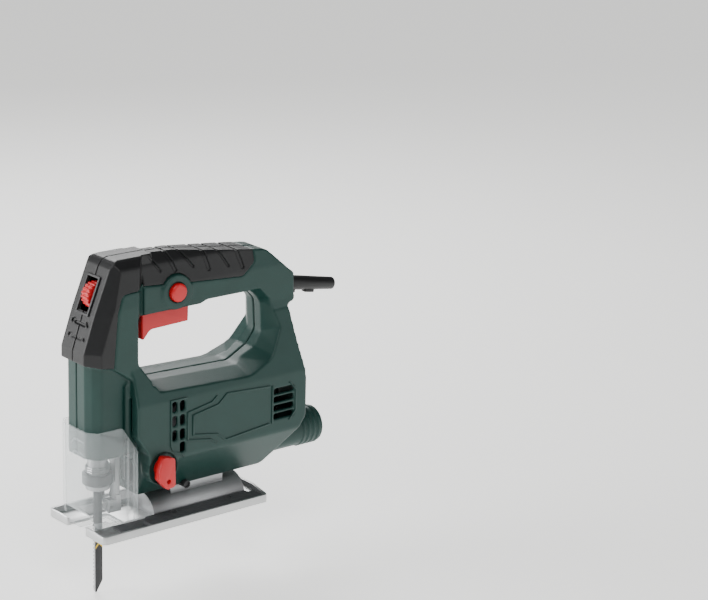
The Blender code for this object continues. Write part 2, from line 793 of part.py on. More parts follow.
def control_pads():
    """Round pads on the left half, under the orbit lever and around the lock button."""
    x, z = LEVER_PIVOT
    return [
        rod((x, 0, z), LEVER_RECESS_RADIUS + 1.2 * MM, -BODY_HALF_WIDTH + 0.4 * MM, 10 * MM - BODY_HALF_WIDTH, "Y", 28),
        rod((BUTTON_X, 0, BUTTON_Z), BUTTON_BOSS_RADIUS, -HANDLE_HALF_WIDTH - 1.2 * MM, -13.2 * MM, "Y", 28),
    ]


def side_cuts(side):
    """The control openings: the lever's hole and the lock button's hole are on the left."""
    if side > 0:
        return []
    x, z = LEVER_PIVOT
    return [
        rod((x, 0, z), 4 * MM, -40 * MM, -16 * MM, "Y", 16),
        rod((x, 0, z), LEVER_RECESS_RADIUS, -40 * MM, -BODY_HALF_WIDTH + 3 * MM, "Y", 28),
        rod((BUTTON_X, 0, BUTTON_Z), BUTTON_RADIUS + GAP, -30 * MM, -9 * MM, "Y"),
    ]


def guard_slot(side):
    """A groove down the column's side for the guard's rail, and a pocket behind it for the raised wall."""
    top = GUARD_TOP_Z + GUARD_TRAVEL
    groove = [side * (COLUMN_HALF_WIDTH - 1.4 * MM), side * (COLUMN_HALF_WIDTH + 12 * MM)]
    pocket = [side * (COLUMN_HALF_WIDTH - 0.1 * MM), side * (GUARD_HALF_WIDTH + 0.4 * MM)]
    return [
        box((9.2 * MM, min(groove), 50 * MM), (13.2 * MM, max(groove), top + 2 * MM)),
        box((13.1 * MM, min(pocket), 50 * MM), (GUARD_REAR_X + 0.8 * MM, max(pocket), top - 8 * MM)),
    ]


def grip_region(grow=0.0):
    """The area of the hood and handle that the soft grip covers, seen from the side."""
    corners = [
        (-40 * MM, 133.3 * MM - grow, 0),
        (-21 * MM, 130.3 * MM - grow, 0),
        (-1 * MM + grow, 127.2 * MM - grow, 0),
        (2.5 * MM + grow, 168 * MM - grow),
        (7 * MM, 180 * MM - grow),
        (28 * MM, 181.5 * MM - grow),
        (74 * MM, 177.5 * MM - grow),
        (118 * MM, 174.5 * MM - grow),
        (130 * MM + grow, 184 * MM),
        (127 * MM + grow, 230 * MM),
        (-40 * MM, 230 * MM),
    ]
    return prism(rounded(corners, 5 * MM, 3), -60 * MM, 60 * MM)


def grips(parts, tool, finish):
    """The soft overmould on the hood and the top of the handle, one piece for each casing half."""
    layer = casing_solid()
    combine(layer, casing_solid(GRIP_THICKNESS), "DIFFERENCE")
    keep(layer, grip_region())
    cut(layer, wheel_window(), prism(column_plan(-GAP), 90 * MM, 132 * MM + GAP, "XY"),
        rod((BUTTON_X, 0, BUTTON_Z), BUTTON_BOSS_RADIUS + GAP, -60 * MM, -5 * MM, "Y"))
    for side, name in ((-1, "grip_left"), (1, "grip_right")):
        grip = layer.copy()
        grip.data = layer.data.copy()
        bpy.context.scene.collection.objects.link(grip)
        grip.name = name
        half(grip, side)
        grip.data.materials.clear()
        grip.data.materials.append(finish)
        grip.parent = tool
        parts[name] = grip
    bpy.data.objects.remove(layer, do_unlink=True)


def casing_screws(parts, tool, finish):
    """The screws that hold the two halves together, with a cross recess in each head."""
    for i, (x, z, wide) in enumerate(SCREWS):
        seat = wide - SCREW_SEAT_DEPTH + 0.1 * MM
        top = seat + 2.4 * MM
        profile = [(0, -SCREW_REACH), (SCREW_RADIUS, -SCREW_REACH + 1 * MM), (SCREW_RADIUS, seat),
                   (SCREW_HEAD_RADIUS, seat), (SCREW_HEAD_RADIUS, top - 0.6 * MM),
                   (SCREW_HEAD_RADIUS - 0.8 * MM, top), (0, top)]
        name = "casing_screw_" + str(i + 1)
        screw = add(name, lathe(profile, (x, 0, z), "Y", 12), finish, tool)
        arm, slit = 1.9 * MM, 0.45 * MM
        cut(screw, box((x - arm, top - 1.2 * MM, z - slit), (x + arm, top + MM, z + slit)),
            box((x - slit, top - 1.2 * MM, z - arm), (x + slit, top + MM, z + arm)))
        parts[name] = screw


# ---------------------------------------------------------------- motor and gears


def gear_outline(teeth, root, tip):
    """Straight-sided teeth, thin enough to roll without touching."""
    outline = []
    pitch = 2 * math.pi / teeth
    for i in range(teeth):
        for share, radius in ((-0.28, root), (-0.1, tip), (0.1, tip), (0.28, root)):
            turn = pitch * (i + share)
            outline.append((radius * math.cos(turn), radius * math.sin(turn)))
    return outline


def toothed(centre, teeth, low, high):
    """A spur gear about X."""
    root = MODULE * (teeth / 2 - 1.05)
    tip = MODULE * (teeth / 2 + 0.75)
    shape = prism(gear_outline(teeth, root, tip), low, high, "YZ")
    shape.transform(Matrix.Translation(centre))
    return shape


def motor(parts, tool, looks):
    """The stator, fixed bearings and brushes, and the turning armature on its shaft."""
    axis = (0, 0, MOTOR_Z)
    ring = [(ARMATURE_RADIUS + 1.2 * MM, 44 * MM), (STATOR_RADIUS, 44 * MM),
            (STATOR_RADIUS, 94 * MM), (ARMATURE_RADIUS + 1.2 * MM, 94 * MM)]
    parts["stator"] = add("stator", lathe(ring, axis, "X"), looks["iron"], tool)
    shaft = add("armature_shaft", rod(axis, SHAFT_RADIUS, GEAR_X - 0.8 * MM, 125 * MM, "X", 16), looks["steel"], tool, axis)
    parts["armature_shaft"] = shaft
    pinion = toothed(axis, PINION_TEETH, GEAR_X, GEAR_X + GEAR_WIDTH)
    combine(shaft, add("pinion", pinion), "UNION")
    turning = (
        ("armature_core", ARMATURE_RADIUS, 45 * MM, 93 * MM, looks["copper"]),
        ("commutator", 9 * MM, 99 * MM, 112 * MM, looks["copper"]),
    )
    for name, radius, low, high, finish in turning:
        shape = tube(axis, SHAFT_RADIUS + 0.05 * MM, radius, low, high, "X")
        parts[name] = add(name, shape, finish, tool, axis)
    parts["fan"] = fan(axis, looks["dark"], tool)
    for name, low in (("bearing_front", 25 * MM), ("bearing_rear", REAR_BEARING_X + 0.5 * MM)):
        shape = tube(axis, SHAFT_RADIUS + 0.1 * MM, BEARING_RADIUS, low, low + 5 * MM, "X")
        parts[name] = add(name, shape, looks["steel"], tool)
    for side, end in ((-1, "left"), (1, "right")):
        low, high = sorted((side * 9.3 * MM, side * 18 * MM))
        brush = box((102 * MM, low, MOTOR_Z - 3 * MM), (108 * MM, high, MOTOR_Z + 3 * MM))
        parts["brush_" + end] = add("brush_" + end, brush, looks["carbon"], tool)
        low, high = sorted((side * 11 * MM, side * 22 * MM))
        holder = add("brush_holder_" + end, box((99.5 * MM, low, MOTOR_Z - 5.5 * MM),
                                                (110.5 * MM, high, MOTOR_Z + 5.5 * MM)), looks["dark"], tool)
        low, high = sorted((side * 8 * MM, side * 19 * MM))
        cut(holder, box((101.7 * MM, low, MOTOR_Z - 3.3 * MM), (108.3 * MM, high, MOTOR_Z + 3.3 * MM)))
        parts["brush_holder_" + end] = holder


def fan(axis, finish, tool):
    """A radial cooling fan: a hub disc with straight blades."""
    bore = SHAFT_RADIUS + 0.05 * MM
    profile = [(bore, 34 * MM), (19 * MM, 34 * MM), (19 * MM, 35.5 * MM), (6 * MM, 35.5 * MM),
               (6 * MM, 41 * MM), (bore, 41 * MM)]
    wheel = add("fan", lathe(profile, axis, "X"), finish, tool, axis)
    for i in range(8):
        blade = box((34.8 * MM, 5 * MM, -0.6 * MM), (40.6 * MM, 18.5 * MM, 0.6 * MM))
        blade.transform(Matrix.Translation(axis) @ Matrix.Rotation(0.1 + 2 * math.pi * i / 8, 4, "X"))
        join(wheel, blade)
    return wheel


def gear_train(parts, tool, looks):
    """The drive gear on its axle, with the crank pin and roller that move the plunger."""
    centre = (0, 0, MOTOR_Z + GEAR_CENTRES)
    axle = add("gear_axle", rod(centre, AXLE_RADIUS, GEAR_X - 1 * MM, 31 * MM, "X", 16), looks["steel"], tool)
    parts["gear_axle"] = axle
    blank = toothed(centre, GEAR_TEETH, GEAR_X, GEAR_X + GEAR_WIDTH)
    half_tooth = Matrix.Rotation(math.pi / GEAR_TEETH, 4, "X")
    blank.transform(Matrix.Translation(centre) @ half_tooth @ Matrix.Translation(-Vector(centre)))
    gear = add("drive_gear", blank, looks["steel"], tool, centre)
    cut(gear, rod(centre, AXLE_RADIUS + 0.15 * MM, GEAR_X - MM, GEAR_X + GEAR_WIDTH + MM, "X"))
    crank = (0, CRANK_RADIUS, centre[2])
    disc = GEAR_X - 1.3 * MM
    profile = [(0, disc - 2.1 * MM), (14 * MM, disc - 2.1 * MM), (14 * MM, disc), (11 * MM, disc),
               (11 * MM, disc + 2.5 * MM), (7 * MM, disc + 2.5 * MM), (7 * MM, disc), (0, disc)]
    join(gear, lathe(profile, centre, "X"), rod(crank, 2 * MM, disc - 9.1 * MM, disc - 1 * MM, "X", 12))
    parts["drive_gear"] = gear
    roller = tube(crank, 2.15 * MM, ROLLER_RADIUS, GEAR_X - 10 * MM, GEAR_X - 3.9 * MM, "X", 16)
    parts["crank_roller"] = add("crank_roller", roller, looks["steel"], tool, crank)


def plunger(parts, tool, looks):
    """The reciprocating rod with its yoke plate, and the bushes it slides in."""
    yoke_z = MOTOR_Z + GEAR_CENTRES
    slot = ROLLER_RADIUS + YOKE_PLAY
    body = add("plunger", rod((0, 0, 0), PLUNGER_RADIUS, PLUNGER_BOTTOM_Z, PLUNGER_TOP_Z), looks["steel"], tool)
    front = GEAR_X - 4.9 * MM
    join(body, box((2 * MM, -16.5 * MM, yoke_z - slot - 3.5 * MM), (front, 16.5 * MM, yoke_z + slot + 3.5 * MM)))
    cut(body, box((front - 5.7 * MM, -14 * MM, yoke_z - slot), (front + 2 * MM, 14 * MM, yoke_z + slot)))
    parts["plunger"] = body
    for name, low in (("lower_bush", LOWER_BUSH_Z + 1 * MM), ("upper_bush", UPPER_BUSH_Z + 1 * MM)):
        shape = tube((0, 0, 0), PLUNGER_RADIUS + FIT, BUSH_RADIUS, low, low + 8 * MM)
        parts[name] = add(name, shape, looks["zinc"], tool)


# ---------------------------------------------------------------- blade and clamp


def blade_outline():
    """A T-shank blade: teeth on the front edge, a cut tip and the shank's two lugs at the top."""
    front, rear = BLADE_FRONT_X, BLADE_FRONT_X + BLADE_WIDTH
    top = BLADE_TIP_Z + BLADE_LENGTH
    neck = top - 26 * MM
    outline = [(rear, BLADE_TIP_Z + 9 * MM), (rear, neck), (rear - 1 * MM, neck + 3 * MM)]
    outline += [(rear - 1 * MM, top - 9 * MM), (rear + 1.5 * MM, top - 8 * MM), (rear + 1.5 * MM, top - 5 * MM)]
    outline += [(rear - 1 * MM, top - 4 * MM), (rear - 2.5 * MM, top), (front + 2.5 * MM, top)]
    outline += [(front + 1 * MM, top - 4 * MM), (front - 1.5 * MM, top - 5 * MM), (front - 1.5 * MM, top - 8 * MM)]
    outline += [(front + 1 * MM, top - 9 * MM), (front + 1 * MM, neck + 3 * MM)]
    count = int((BLADE_LENGTH - 30 * MM) / TOOTH_PITCH)
    for i in range(count):
        z = neck - i * TOOTH_PITCH
        outline += [(front + 1.2 * MM, z), (front, z - 0.9 * TOOTH_PITCH)]
    outline.append((front + 1.2 * MM, BLADE_TIP_Z + 1 * MM))
    outline.append((front + 2.4 * MM, BLADE_TIP_Z))
    return outline


def clamp_and_blade(parts, tool, looks):
    """The tool-free clamp at the plunger's foot, its lever and spring, and the blade it holds."""
    shank_top = BLADE_TIP_Z + BLADE_LENGTH
    holder = add("blade_holder", rod((0, 0, 0), HOLDER_RADIUS, COLLAR_BOTTOM_Z - 4 * MM, HOLDER_TOP_Z),
                 looks["dark"], tool)
    join(holder, rod((0, 0, 0), HOLDER_RADIUS + 1.5 * MM, COLLAR_BOTTOM_Z - 4 * MM, COLLAR_BOTTOM_Z - 0.6 * MM))
    cut(holder, rod((0, 0, 0), PLUNGER_RADIUS + GAP, PLUNGER_BOTTOM_Z - GAP, HOLDER_TOP_Z + 2 * MM),
        box((-6.6 * MM, -1 * MM, 20 * MM), (5.6 * MM, 1 * MM, shank_top + GAP)))
    parts["blade_holder"] = holder
    shape = blade_outline()
    parts["saw_blade"] = add("saw_blade", prism(shape, -BLADE_THICKNESS / 2, BLADE_THICKNESS / 2),
                             looks["blade"], tool)
    collar = add("clamp_lever", tube((0, 0, 0), 7.9 * MM, COLLAR_RADIUS, COLLAR_BOTTOM_Z, COLLAR_TOP_Z),
                 looks["dark"], tool, (0, 0, 0))
    tab = box((10 * MM, -1.5 * MM, 14 * MM), (18 * MM, 1.5 * MM, 44 * MM))
    tab.transform(Matrix.Rotation(math.radians(45), 4, "Z"))
    join(collar, tab)
    parts["clamp_lever"] = collar
    spring = coil((0, 0, COLLAR_TOP_Z + 1 * MM), 8.9 * MM, 0.6 * MM, 5 * MM, 3)
    parts["clamp_spring"] = add("clamp_spring", spring, looks["steel"], tool)


def blade_guide(parts, tool, looks):
    """The orbit fork that hangs behind the blade, with the grooved roller that backs the blade."""
    pivot = (FORK_PIVOT[0], 0, FORK_PIVOT[1])
    fork = add("orbit_fork", box((12.9 * MM, -3.6 * MM, 19 * MM), (17 * MM, 3.6 * MM, 56.5 * MM)),
               looks["zinc"], tool, pivot)
    arms = [
        box((12.9 * MM, -3.6 * MM, 50.5 * MM), (22.4 * MM, 3.6 * MM, 56.5 * MM)),
        box((6 * MM, -5.4 * MM, 9.5 * MM), (17 * MM, -3.1 * MM, 18.2 * MM)),
        box((6 * MM, 3.1 * MM, 9.5 * MM), (17 * MM, 5.4 * MM, 18.2 * MM)),
        box((13.6 * MM, -5.4 * MM, 10 * MM), (17 * MM, 5.4 * MM, 22 * MM)),
    ]
    join(fork, *arms)
    roller_x = BLADE_FRONT_X + BLADE_WIDTH + 0.5 * MM + BACKING_ROLLER_RADIUS
    centre = (roller_x, 0, BACKING_ROLLER_Z)
    cut(fork, rod(pivot, 1.7 * MM, -8 * MM, 8 * MM, "Y", 12), rod(centre, 1.2 * MM, -8 * MM, 8 * MM, "Y", 12))
    parts["orbit_fork"] = fork
    pin = rod(pivot, 1.4 * MM, -11 * MM, 11 * MM, "Y", 12)
    parts["fork_pin"] = add("fork_pin", pin, looks["steel"], tool)
    radius = BACKING_ROLLER_RADIUS
    profile = [(1.3 * MM, -2.7 * MM), (radius, -2.7 * MM), (radius, -1 * MM), (radius - 1 * MM, 0),
               (radius, 1 * MM), (radius, 2.7 * MM), (1.3 * MM, 2.7 * MM)]
    parts["backing_roller"] = add("backing_roller", lathe(profile, centre, "Y", 20), looks["steel"], tool, centre)
    parts["roller_pin"] = add("roller_pin", rod(centre, 0.95 * MM, -5.2 * MM, 5.2 * MM, "Y", 10),
                              looks["steel"], tool)


# ---------------------------------------------------------------- controls


def trigger(parts, tool, looks):
    """The long rocker bar under the handle, its return spring and the switch it presses."""
    corners = [(32.4 * MM, 165 * MM, 0), (32.4 * MM, 139 * MM, 1 * MM), (34.5 * MM, 139 * MM, 1 * MM),
               (40 * MM, 145.5 * MM, 6 * MM), (73.5 * MM, 146.5 * MM, 1 * MM), (74 * MM, 165 * MM, 0)]
    bar = add("trigger", prism(rounded(corners, 2 * MM, 3), -10 * MM, 10 * MM), looks["red"], tool)
    bevel(bar, 0.8 * MM)
    cut(bar, rod((48 * MM, 0, 0), 3.5 * MM, 160 * MM, 170 * MM))
    parts["trigger"] = bar
    spring = coil((48 * MM, 0, 160.6 * MM), 2.4 * MM, 0.4 * MM, 10.6 * MM, 5, "Z", 8, 4)
    parts["trigger_spring"] = add("trigger_spring", spring, looks["steel"], tool)
    body = add("switch_body", box((41 * MM, -7 * MM, 172 * MM), (75 * MM, 7 * MM, 191 * MM)), looks["dark"], tool)
    parts["switch_body"] = bevel(body, 1 * MM)


def lock_button(parts, tool, looks):
    """The round lock-on button in the left side of the handle."""
    face = -HANDLE_HALF_WIDTH - 4 * MM
    profile = [(0, face), (BUTTON_RADIUS - 1.5 * MM, face), (BUTTON_RADIUS, face + 1 * MM),
               (BUTTON_RADIUS, -13 * MM), (0, -13 * MM)]
    place = (BUTTON_X, 0, BUTTON_Z)
    parts["lock_button"] = add("lock_button", lathe(profile, place, "Y"), looks["red"], tool, place)


def speed_control(parts, tool, looks):
    """The thumbwheel in the hood's front panel and the electronics module behind it."""
    x, z = WHEEL_CENTRE
    teeth = 20
    outline = []
    for i in range(teeth):
        for share, radius in ((-0.32, WHEEL_RADIUS - 0.8 * MM), (-0.2, WHEEL_RADIUS),
                              (0.2, WHEEL_RADIUS), (0.32, WHEEL_RADIUS - 0.8 * MM)):
            turn = 2 * math.pi * (i + share) / teeth
            outline.append((x + radius * math.cos(turn), z + radius * math.sin(turn)))
    wheel = add("speed_wheel", prism(outline, -WHEEL_WIDTH / 2, WHEEL_WIDTH / 2), looks["red"], tool, (x, 0, z))
    cut(wheel, rod((x, 0, z), 1.8 * MM, -8 * MM, 8 * MM, "Y", 12))
    parts["speed_wheel"] = wheel
    parts["wheel_pin"] = add("wheel_pin", rod((x, 0, z), 1.5 * MM, -12 * MM, 12 * MM, "Y", 12), looks["steel"], tool)
    module = box((13 * MM, -8.4 * MM, 165 * MM), (31 * MM, 8.4 * MM, 190 * MM))
    parts["speed_module"] = add("speed_module", module, looks["dark"], tool)


def orbit_lever(parts, tool, looks):
    """The red selector on the left side: a boss with a wedge-shaped finger piece."""
    x, z = LEVER_PIVOT
    pivot = (x, 0, z)
    face = -BODY_HALF_WIDTH - GAP - 0.4 * MM
    lever = add("orbit_lever", rod(pivot, LEVER_BOSS_RADIUS, face - 2 * MM, 2.6 * MM - BODY_HALF_WIDTH, "Y", 28),
                looks["red"], tool, pivot)
    finger = [(-5, 11.5), (-8.5, 1), (-9, -6), (-2, -14), (5.5, -13), (5, 9)]
    outline = [(x + a * MM, z + b * MM) for a, b in finger]
    handle = prism(rounded(outline, 2.5 * MM, 3), face - 6.4 * MM, face)
    join(lever, handle, rod(pivot, 3.5 * MM, face - 1 * MM, -24 * MM, "Y", 16))
    cut(lever, rod((x - 0.5 * MM, 0, z - 8 * MM), 1.8 * MM, -60 * MM, face - 3.4 * MM, "Y", 12))
    parts["orbit_lever"] = lever


# ---------------------------------------------------------------- dust port and cable


def dust_nozzle(parts, tool, finish):
    """The extraction duct: it opens behind the blade and ends in the ribbed port at the rear."""
    start = 145 * MM
    profile = [(DUCT_RADIUS - 1.6 * MM, DUCT_FRONT_X), (DUCT_RADIUS, DUCT_FRONT_X), (DUCT_RADIUS, start),
               (PORT_RADIUS, start)]
    ribs = 4
    pitch = 4.8 * MM
    for i in range(ribs):
        low = PORT_END_X - (ribs - i) * pitch - 1 * MM
        profile += [(PORT_RADIUS, low), (PORT_RADIUS + 0.9 * MM, low + 0.8 * MM),
                    (PORT_RADIUS + 0.9 * MM, low + 2 * MM), (PORT_RADIUS, low + 2.8 * MM)]
    profile += [(PORT_RADIUS, PORT_END_X - 1 * MM), (PORT_RADIUS - 1 * MM, PORT_END_X),
                (PORT_RADIUS - PORT_WALL, PORT_END_X), (PORT_RADIUS - PORT_WALL, start + 3 * MM),
                (DUCT_RADIUS - 1.6 * MM, start + 1 * MM)]
    parts["dust_nozzle"] = add("dust_nozzle", lathe(profile, (0, 0, PORT_Z), "X", 20), finish, tool)


def cable_entry(parts, tool, looks):
    """The bend-protection sleeve, its collar inside the casing, and the clamp that holds the cable."""
    def sleeve(length, steps):
        profile = [(SLEEVE_BORE, -22 * MM), (SLEEVE_RADIUS, -22 * MM), (SLEEVE_RADIUS, length * 0.2),
                   (SLEEVE_RADIUS - 0.8 * MM, length), (SLEEVE_BORE, length)]
        return lathe(profile, (0, 0, 0), "Z", steps)

    parts["cable_sleeve"] = add("cable_sleeve", between(SLEEVE_START, SLEEVE_END, sleeve, 20), looks["grip"], tool)


# ---------------------------------------------------------------- guard and sole


def chip_guard(parts, tool, looks):
    """The clear U-shaped guard around the blade, with rails that slide up the column's sides."""
    front, rear, wide = GUARD_FRONT_X, GUARD_REAR_X, GUARD_HALF_WIDTH
    wall = GUARD_WALL
    plan = [(front, -14.5 * MM), (front + 6 * MM, -wide), (rear, -wide), (rear, -wide + wall),
            (front + 7 * MM, -wide + wall), (front + wall, -14 * MM), (front + wall, 14 * MM),
            (front + 7 * MM, wide - wall), (rear, wide - wall), (rear, wide), (front + 6 * MM, wide),
            (front, 14.5 * MM)]
    guard = add("chip_guard", prism(plan, GUARD_BOTTOM_Z, GUARD_TOP_Z, "XY"), looks["clear"], tool)
    slope = [(6 * MM, GUARD_TOP_Z + MM), (21 * MM, 59 * MM), (30 * MM, 59 * MM), (30 * MM, GUARD_TOP_Z + MM)]
    foot = [(front - MM, 22 * MM), (front + 7 * MM, GUARD_BOTTOM_Z - MM), (front - MM, GUARD_BOTTOM_Z - MM)]
    cut(guard, prism(slope, -40 * MM, 40 * MM), prism(foot, -40 * MM, 40 * MM))
    for side in (-1, 1):
        low, high = sorted((side * (COLUMN_HALF_WIDTH - 1 * MM), side * (wide - 0.5 * MM)))
        join(guard, box((9.7 * MM, low, 40 * MM), (12.7 * MM, high, GUARD_TOP_Z - 9 * MM)))
    parts["chip_guard"] = guard


def sole_outline(grow=0.0):
    rear = SOLE_REAR_X + grow
    wide = SOLE_HALF_WIDTH + grow
    slot = SLOT_HALF_WIDTH - grow
    front = SOLE_FRONT_X - grow
    corners = [
        (front, -wide, 4 * MM), (front, -slot, 1.5 * MM), (SLOT_END_X + grow, -slot, 3 * MM),
        (SLOT_END_X + grow, slot, 3 * MM), (front, slot, 1.5 * MM), (front, wide, 4 * MM),
        (rear - 3 * MM, wide, 4 * MM), (rear + 2 * MM, 12 * MM, 0), (rear + 2 * MM, -12 * MM, 0),
        (rear - 3 * MM, -wide, 4 * MM),
    ]
    return rounded(corners, 2 * MM, 3)


def sole(parts, tool, looks):
    """The pressed sole with its folded rim, the dark cover on top, and the splinter insert."""
    plate = add("sole_plate", prism(sole_outline(), 0, SOLE_RIM_HEIGHT, "XY"), looks["steel"], tool)
    rim = SOLE_RIM_WALL
    wide = SOLE_HALF_WIDTH - rim
    front = SOLE_FRONT_X + rim
    inner = rounded([(front, -wide), (front, wide), (SOLE_REAR_X - 3 * MM - rim, wide),
                     (SOLE_REAR_X + 2 * MM - rim, 12 * MM, 0), (SOLE_REAR_X + 2 * MM - rim, -12 * MM, 0),
                     (SOLE_REAR_X - 3 * MM - rim, -wide)], 2 * MM, 3)
    cut(plate, prism(inner, SOLE_THICKNESS, 20 * MM, "XY"))
    cut(plate, box((TILT_SCREW_X - 16 * MM, -9 * MM, -5 * MM), (TILT_SCREW_X + 16 * MM, 9 * MM, 5 * MM)))
    holes = ((52, -23, 2), (102, -22, 2), (123, -20, 2.6), (52, 23, 2), (102, 22, 2), (123, 20, 2.6))
    for x, y, radius in holes:
        cut(plate, rod((x * MM, y * MM, 0), radius * MM, -5 * MM, 5 * MM, "Z", 12))
    parts["sole_plate"] = plate
    low = SOLE_THICKNESS + 0.05 * MM
    for side, name in ((-1, "sole_cover_left"), (1, "sole_cover_right")):
        corners = [(3, 15.5), (3, 33.5), (30, 33.5), (30, 19), (33, 15.5)]
        outline = [(x * MM, side * y * MM) for x, y in corners]
        cover = add(name, prism(outline, low, low + PANEL_THICKNESS, "XY"), looks["panel"], tool)
        corners = [(24, 24.5), (24, 33.9), (126, 33.9), (126, 19), (29, 19)]
        outline = [(x * MM, side * y * MM) for x, y in corners]
        join(cover, prism(rounded(outline, 1.5 * MM, 2), low, SOLE_RIM_HEIGHT - 0.4 * MM, "XY"))
        for x, y, radius in holes:
            if y * side > 0:
                cut(cover, rod((x * MM, y * MM, 0), (radius + 0.6) * MM, -5 * MM, 9 * MM, "Z", 12))
        parts[name] = cover


def splinter_insert(parts, tool, looks):
    """The U-shaped insert that closes the slot around the blade."""
    wide = SLOT_HALF_WIDTH - GAP
    rear = SLOT_END_X - GAP
    arm = SPLINTER_GAP
    corners = [(-14 * MM, -wide), (-14 * MM, -arm), (5.5 * MM, -arm), (5.5 * MM, -6.4 * MM), (12 * MM, -6.4 * MM),
               (12 * MM, 6.4 * MM), (5.5 * MM, 6.4 * MM), (5.5 * MM, arm), (-14 * MM, arm), (-14 * MM, wide),
               (rear, wide, 3.2 * MM), (rear, -wide, 3.2 * MM)]
    parts["splinter_insert"] = add("splinter_insert", prism(rounded(corners, 1 * MM, 2), 0.3 * MM, 2.6 * MM, "XY"),
                                   looks["panel"], tool)


def tilt_joint(parts, tool, looks):
    """The half-round bracket on the sole, the saddle under the keel, and the clamp between them."""
    foot = SOLE_THICKNESS + 0.05 * MM
    span = 500 * MM
    inner = BRACKET_RADIUS - BRACKET_WALL
    front, rear = BRACKET_FRONT_X, BRACKET_REAR_X
    upper = box((front - 5 * MM, -30 * MM, foot), (rear + 5 * MM, 30 * MM, 30 * MM))
    bracket = add("tilt_bracket", rod((0, 0, 0), BRACKET_RADIUS, front, rear, "X", 48), looks["zinc"], tool)
    cut(bracket, rod((0, 0, 0), inner, front + BRACKET_WALL, rear + MM, "X", 48))
    keep(bracket, upper)
    arc_slot = arc((0, 0), 30 * MM, 90 - TILT_SLOT_HALF_ANGLE, 90 + TILT_SLOT_HALF_ANGLE, 8) + [(0, 0)]
    half_slot = TILT_SCREW_RADIUS + 0.8 * MM
    cut(bracket, prism(arc_slot, TILT_SCREW_X - half_slot, TILT_SCREW_X + half_slot, "YZ"))
    parts["tilt_bracket"] = bracket
    saddle_top = BODY_BOTTOM_Z - GAP
    half_length = 24 * MM
    saddle = add("tilt_saddle", box((TILT_SCREW_X - half_length, -10 * MM, 10 * MM),
                                    (TILT_SCREW_X + half_length, 10 * MM, saddle_top)), looks["zinc"], tool)
    cut(saddle, rod((0, 0, 0), BRACKET_RADIUS + GAP, 20 * MM, 180 * MM, "X", 48))
    cut(saddle, rod((TILT_SCREW_X, 0, 0), TILT_SCREW_RADIUS + 0.2 * MM, 5 * MM, 40 * MM))
    parts["tilt_saddle"] = saddle
    shoe = add("clamp_shoe", rod((0, 0, 0), inner - GAP, TILT_SCREW_X - 12 * MM, TILT_SCREW_X + 12 * MM, "X", 48),
               looks["steel"], tool)
    cut(shoe, rod((0, 0, 0), inner - GAP - SHOE_WALL, 20 * MM, 180 * MM, "X", 48))
    keep(shoe, box((0, -6.5 * MM, 5 * MM), (span, 6.5 * MM, 30 * MM)))
    cut(shoe, rod((TILT_SCREW_X, 0, 0), TILT_SCREW_RADIUS + 0.3 * MM, 5 * MM, 40 * MM))
    parts["clamp_shoe"] = shoe
    head_top = inner - GAP - SHOE_WALL - 0.9 * MM
    profile = [(0, head_top - 4 * MM), (TILT_HEAD_RADIUS, head_top - 4 * MM), (TILT_HEAD_RADIUS, head_top),
               (TILT_SCREW_RADIUS, head_top), (TILT_SCREW_RADIUS, saddle_top - 0.2 * MM), (0, saddle_top - 0.2 * MM)]
    screw = add("tilt_screw", lathe(profile, (TILT_SCREW_X, 0, 0), "Z"), looks["steel"], tool)
    socket = lathe([(0, 0), (2.3 * MM, 0), (2.3 * MM, 12 * MM), (0, 12 * MM)], (TILT_SCREW_X, 0, 0), "Z", 6)
    socket.transform(Matrix.Translation((0, 0, head_top - 14 * MM)))
    parts["tilt_screw"] = cut(screw, socket)


# ---------------------------------------------------------------- whole tool


def build():
    clear_scene()
    looks = finishes()
    tool = bpy.data.objects.new("tool", None)
    bpy.context.scene.collection.objects.link(tool)
    tool.location = (-ORIGIN_BEHIND_BLADE, 0, 0)
    parts = {}
    casing(parts, tool, looks["casing"])
    grips(parts, tool, looks["grip"])
    casing_screws(parts, tool, looks["steel"])
    motor(parts, tool, looks)
    gear_train(parts, tool, looks)
    plunger(parts, tool, looks)
    clamp_and_blade(parts, tool, looks)
    blade_guide(parts, tool, looks)
    trigger(parts, tool, looks)
    lock_button(parts, tool, looks)
    speed_control(parts, tool, looks)
    orbit_lever(parts, tool, looks)
    dust_nozzle(parts, tool, looks["casing"])
    cable_entry(parts, tool, looks)
    chip_guard(parts, tool, looks)
    sole(parts, tool, looks)
    splinter_insert(parts, tool, looks)
    tilt_joint(parts, tool, looks)
    return parts


build()
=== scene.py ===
import json
import math

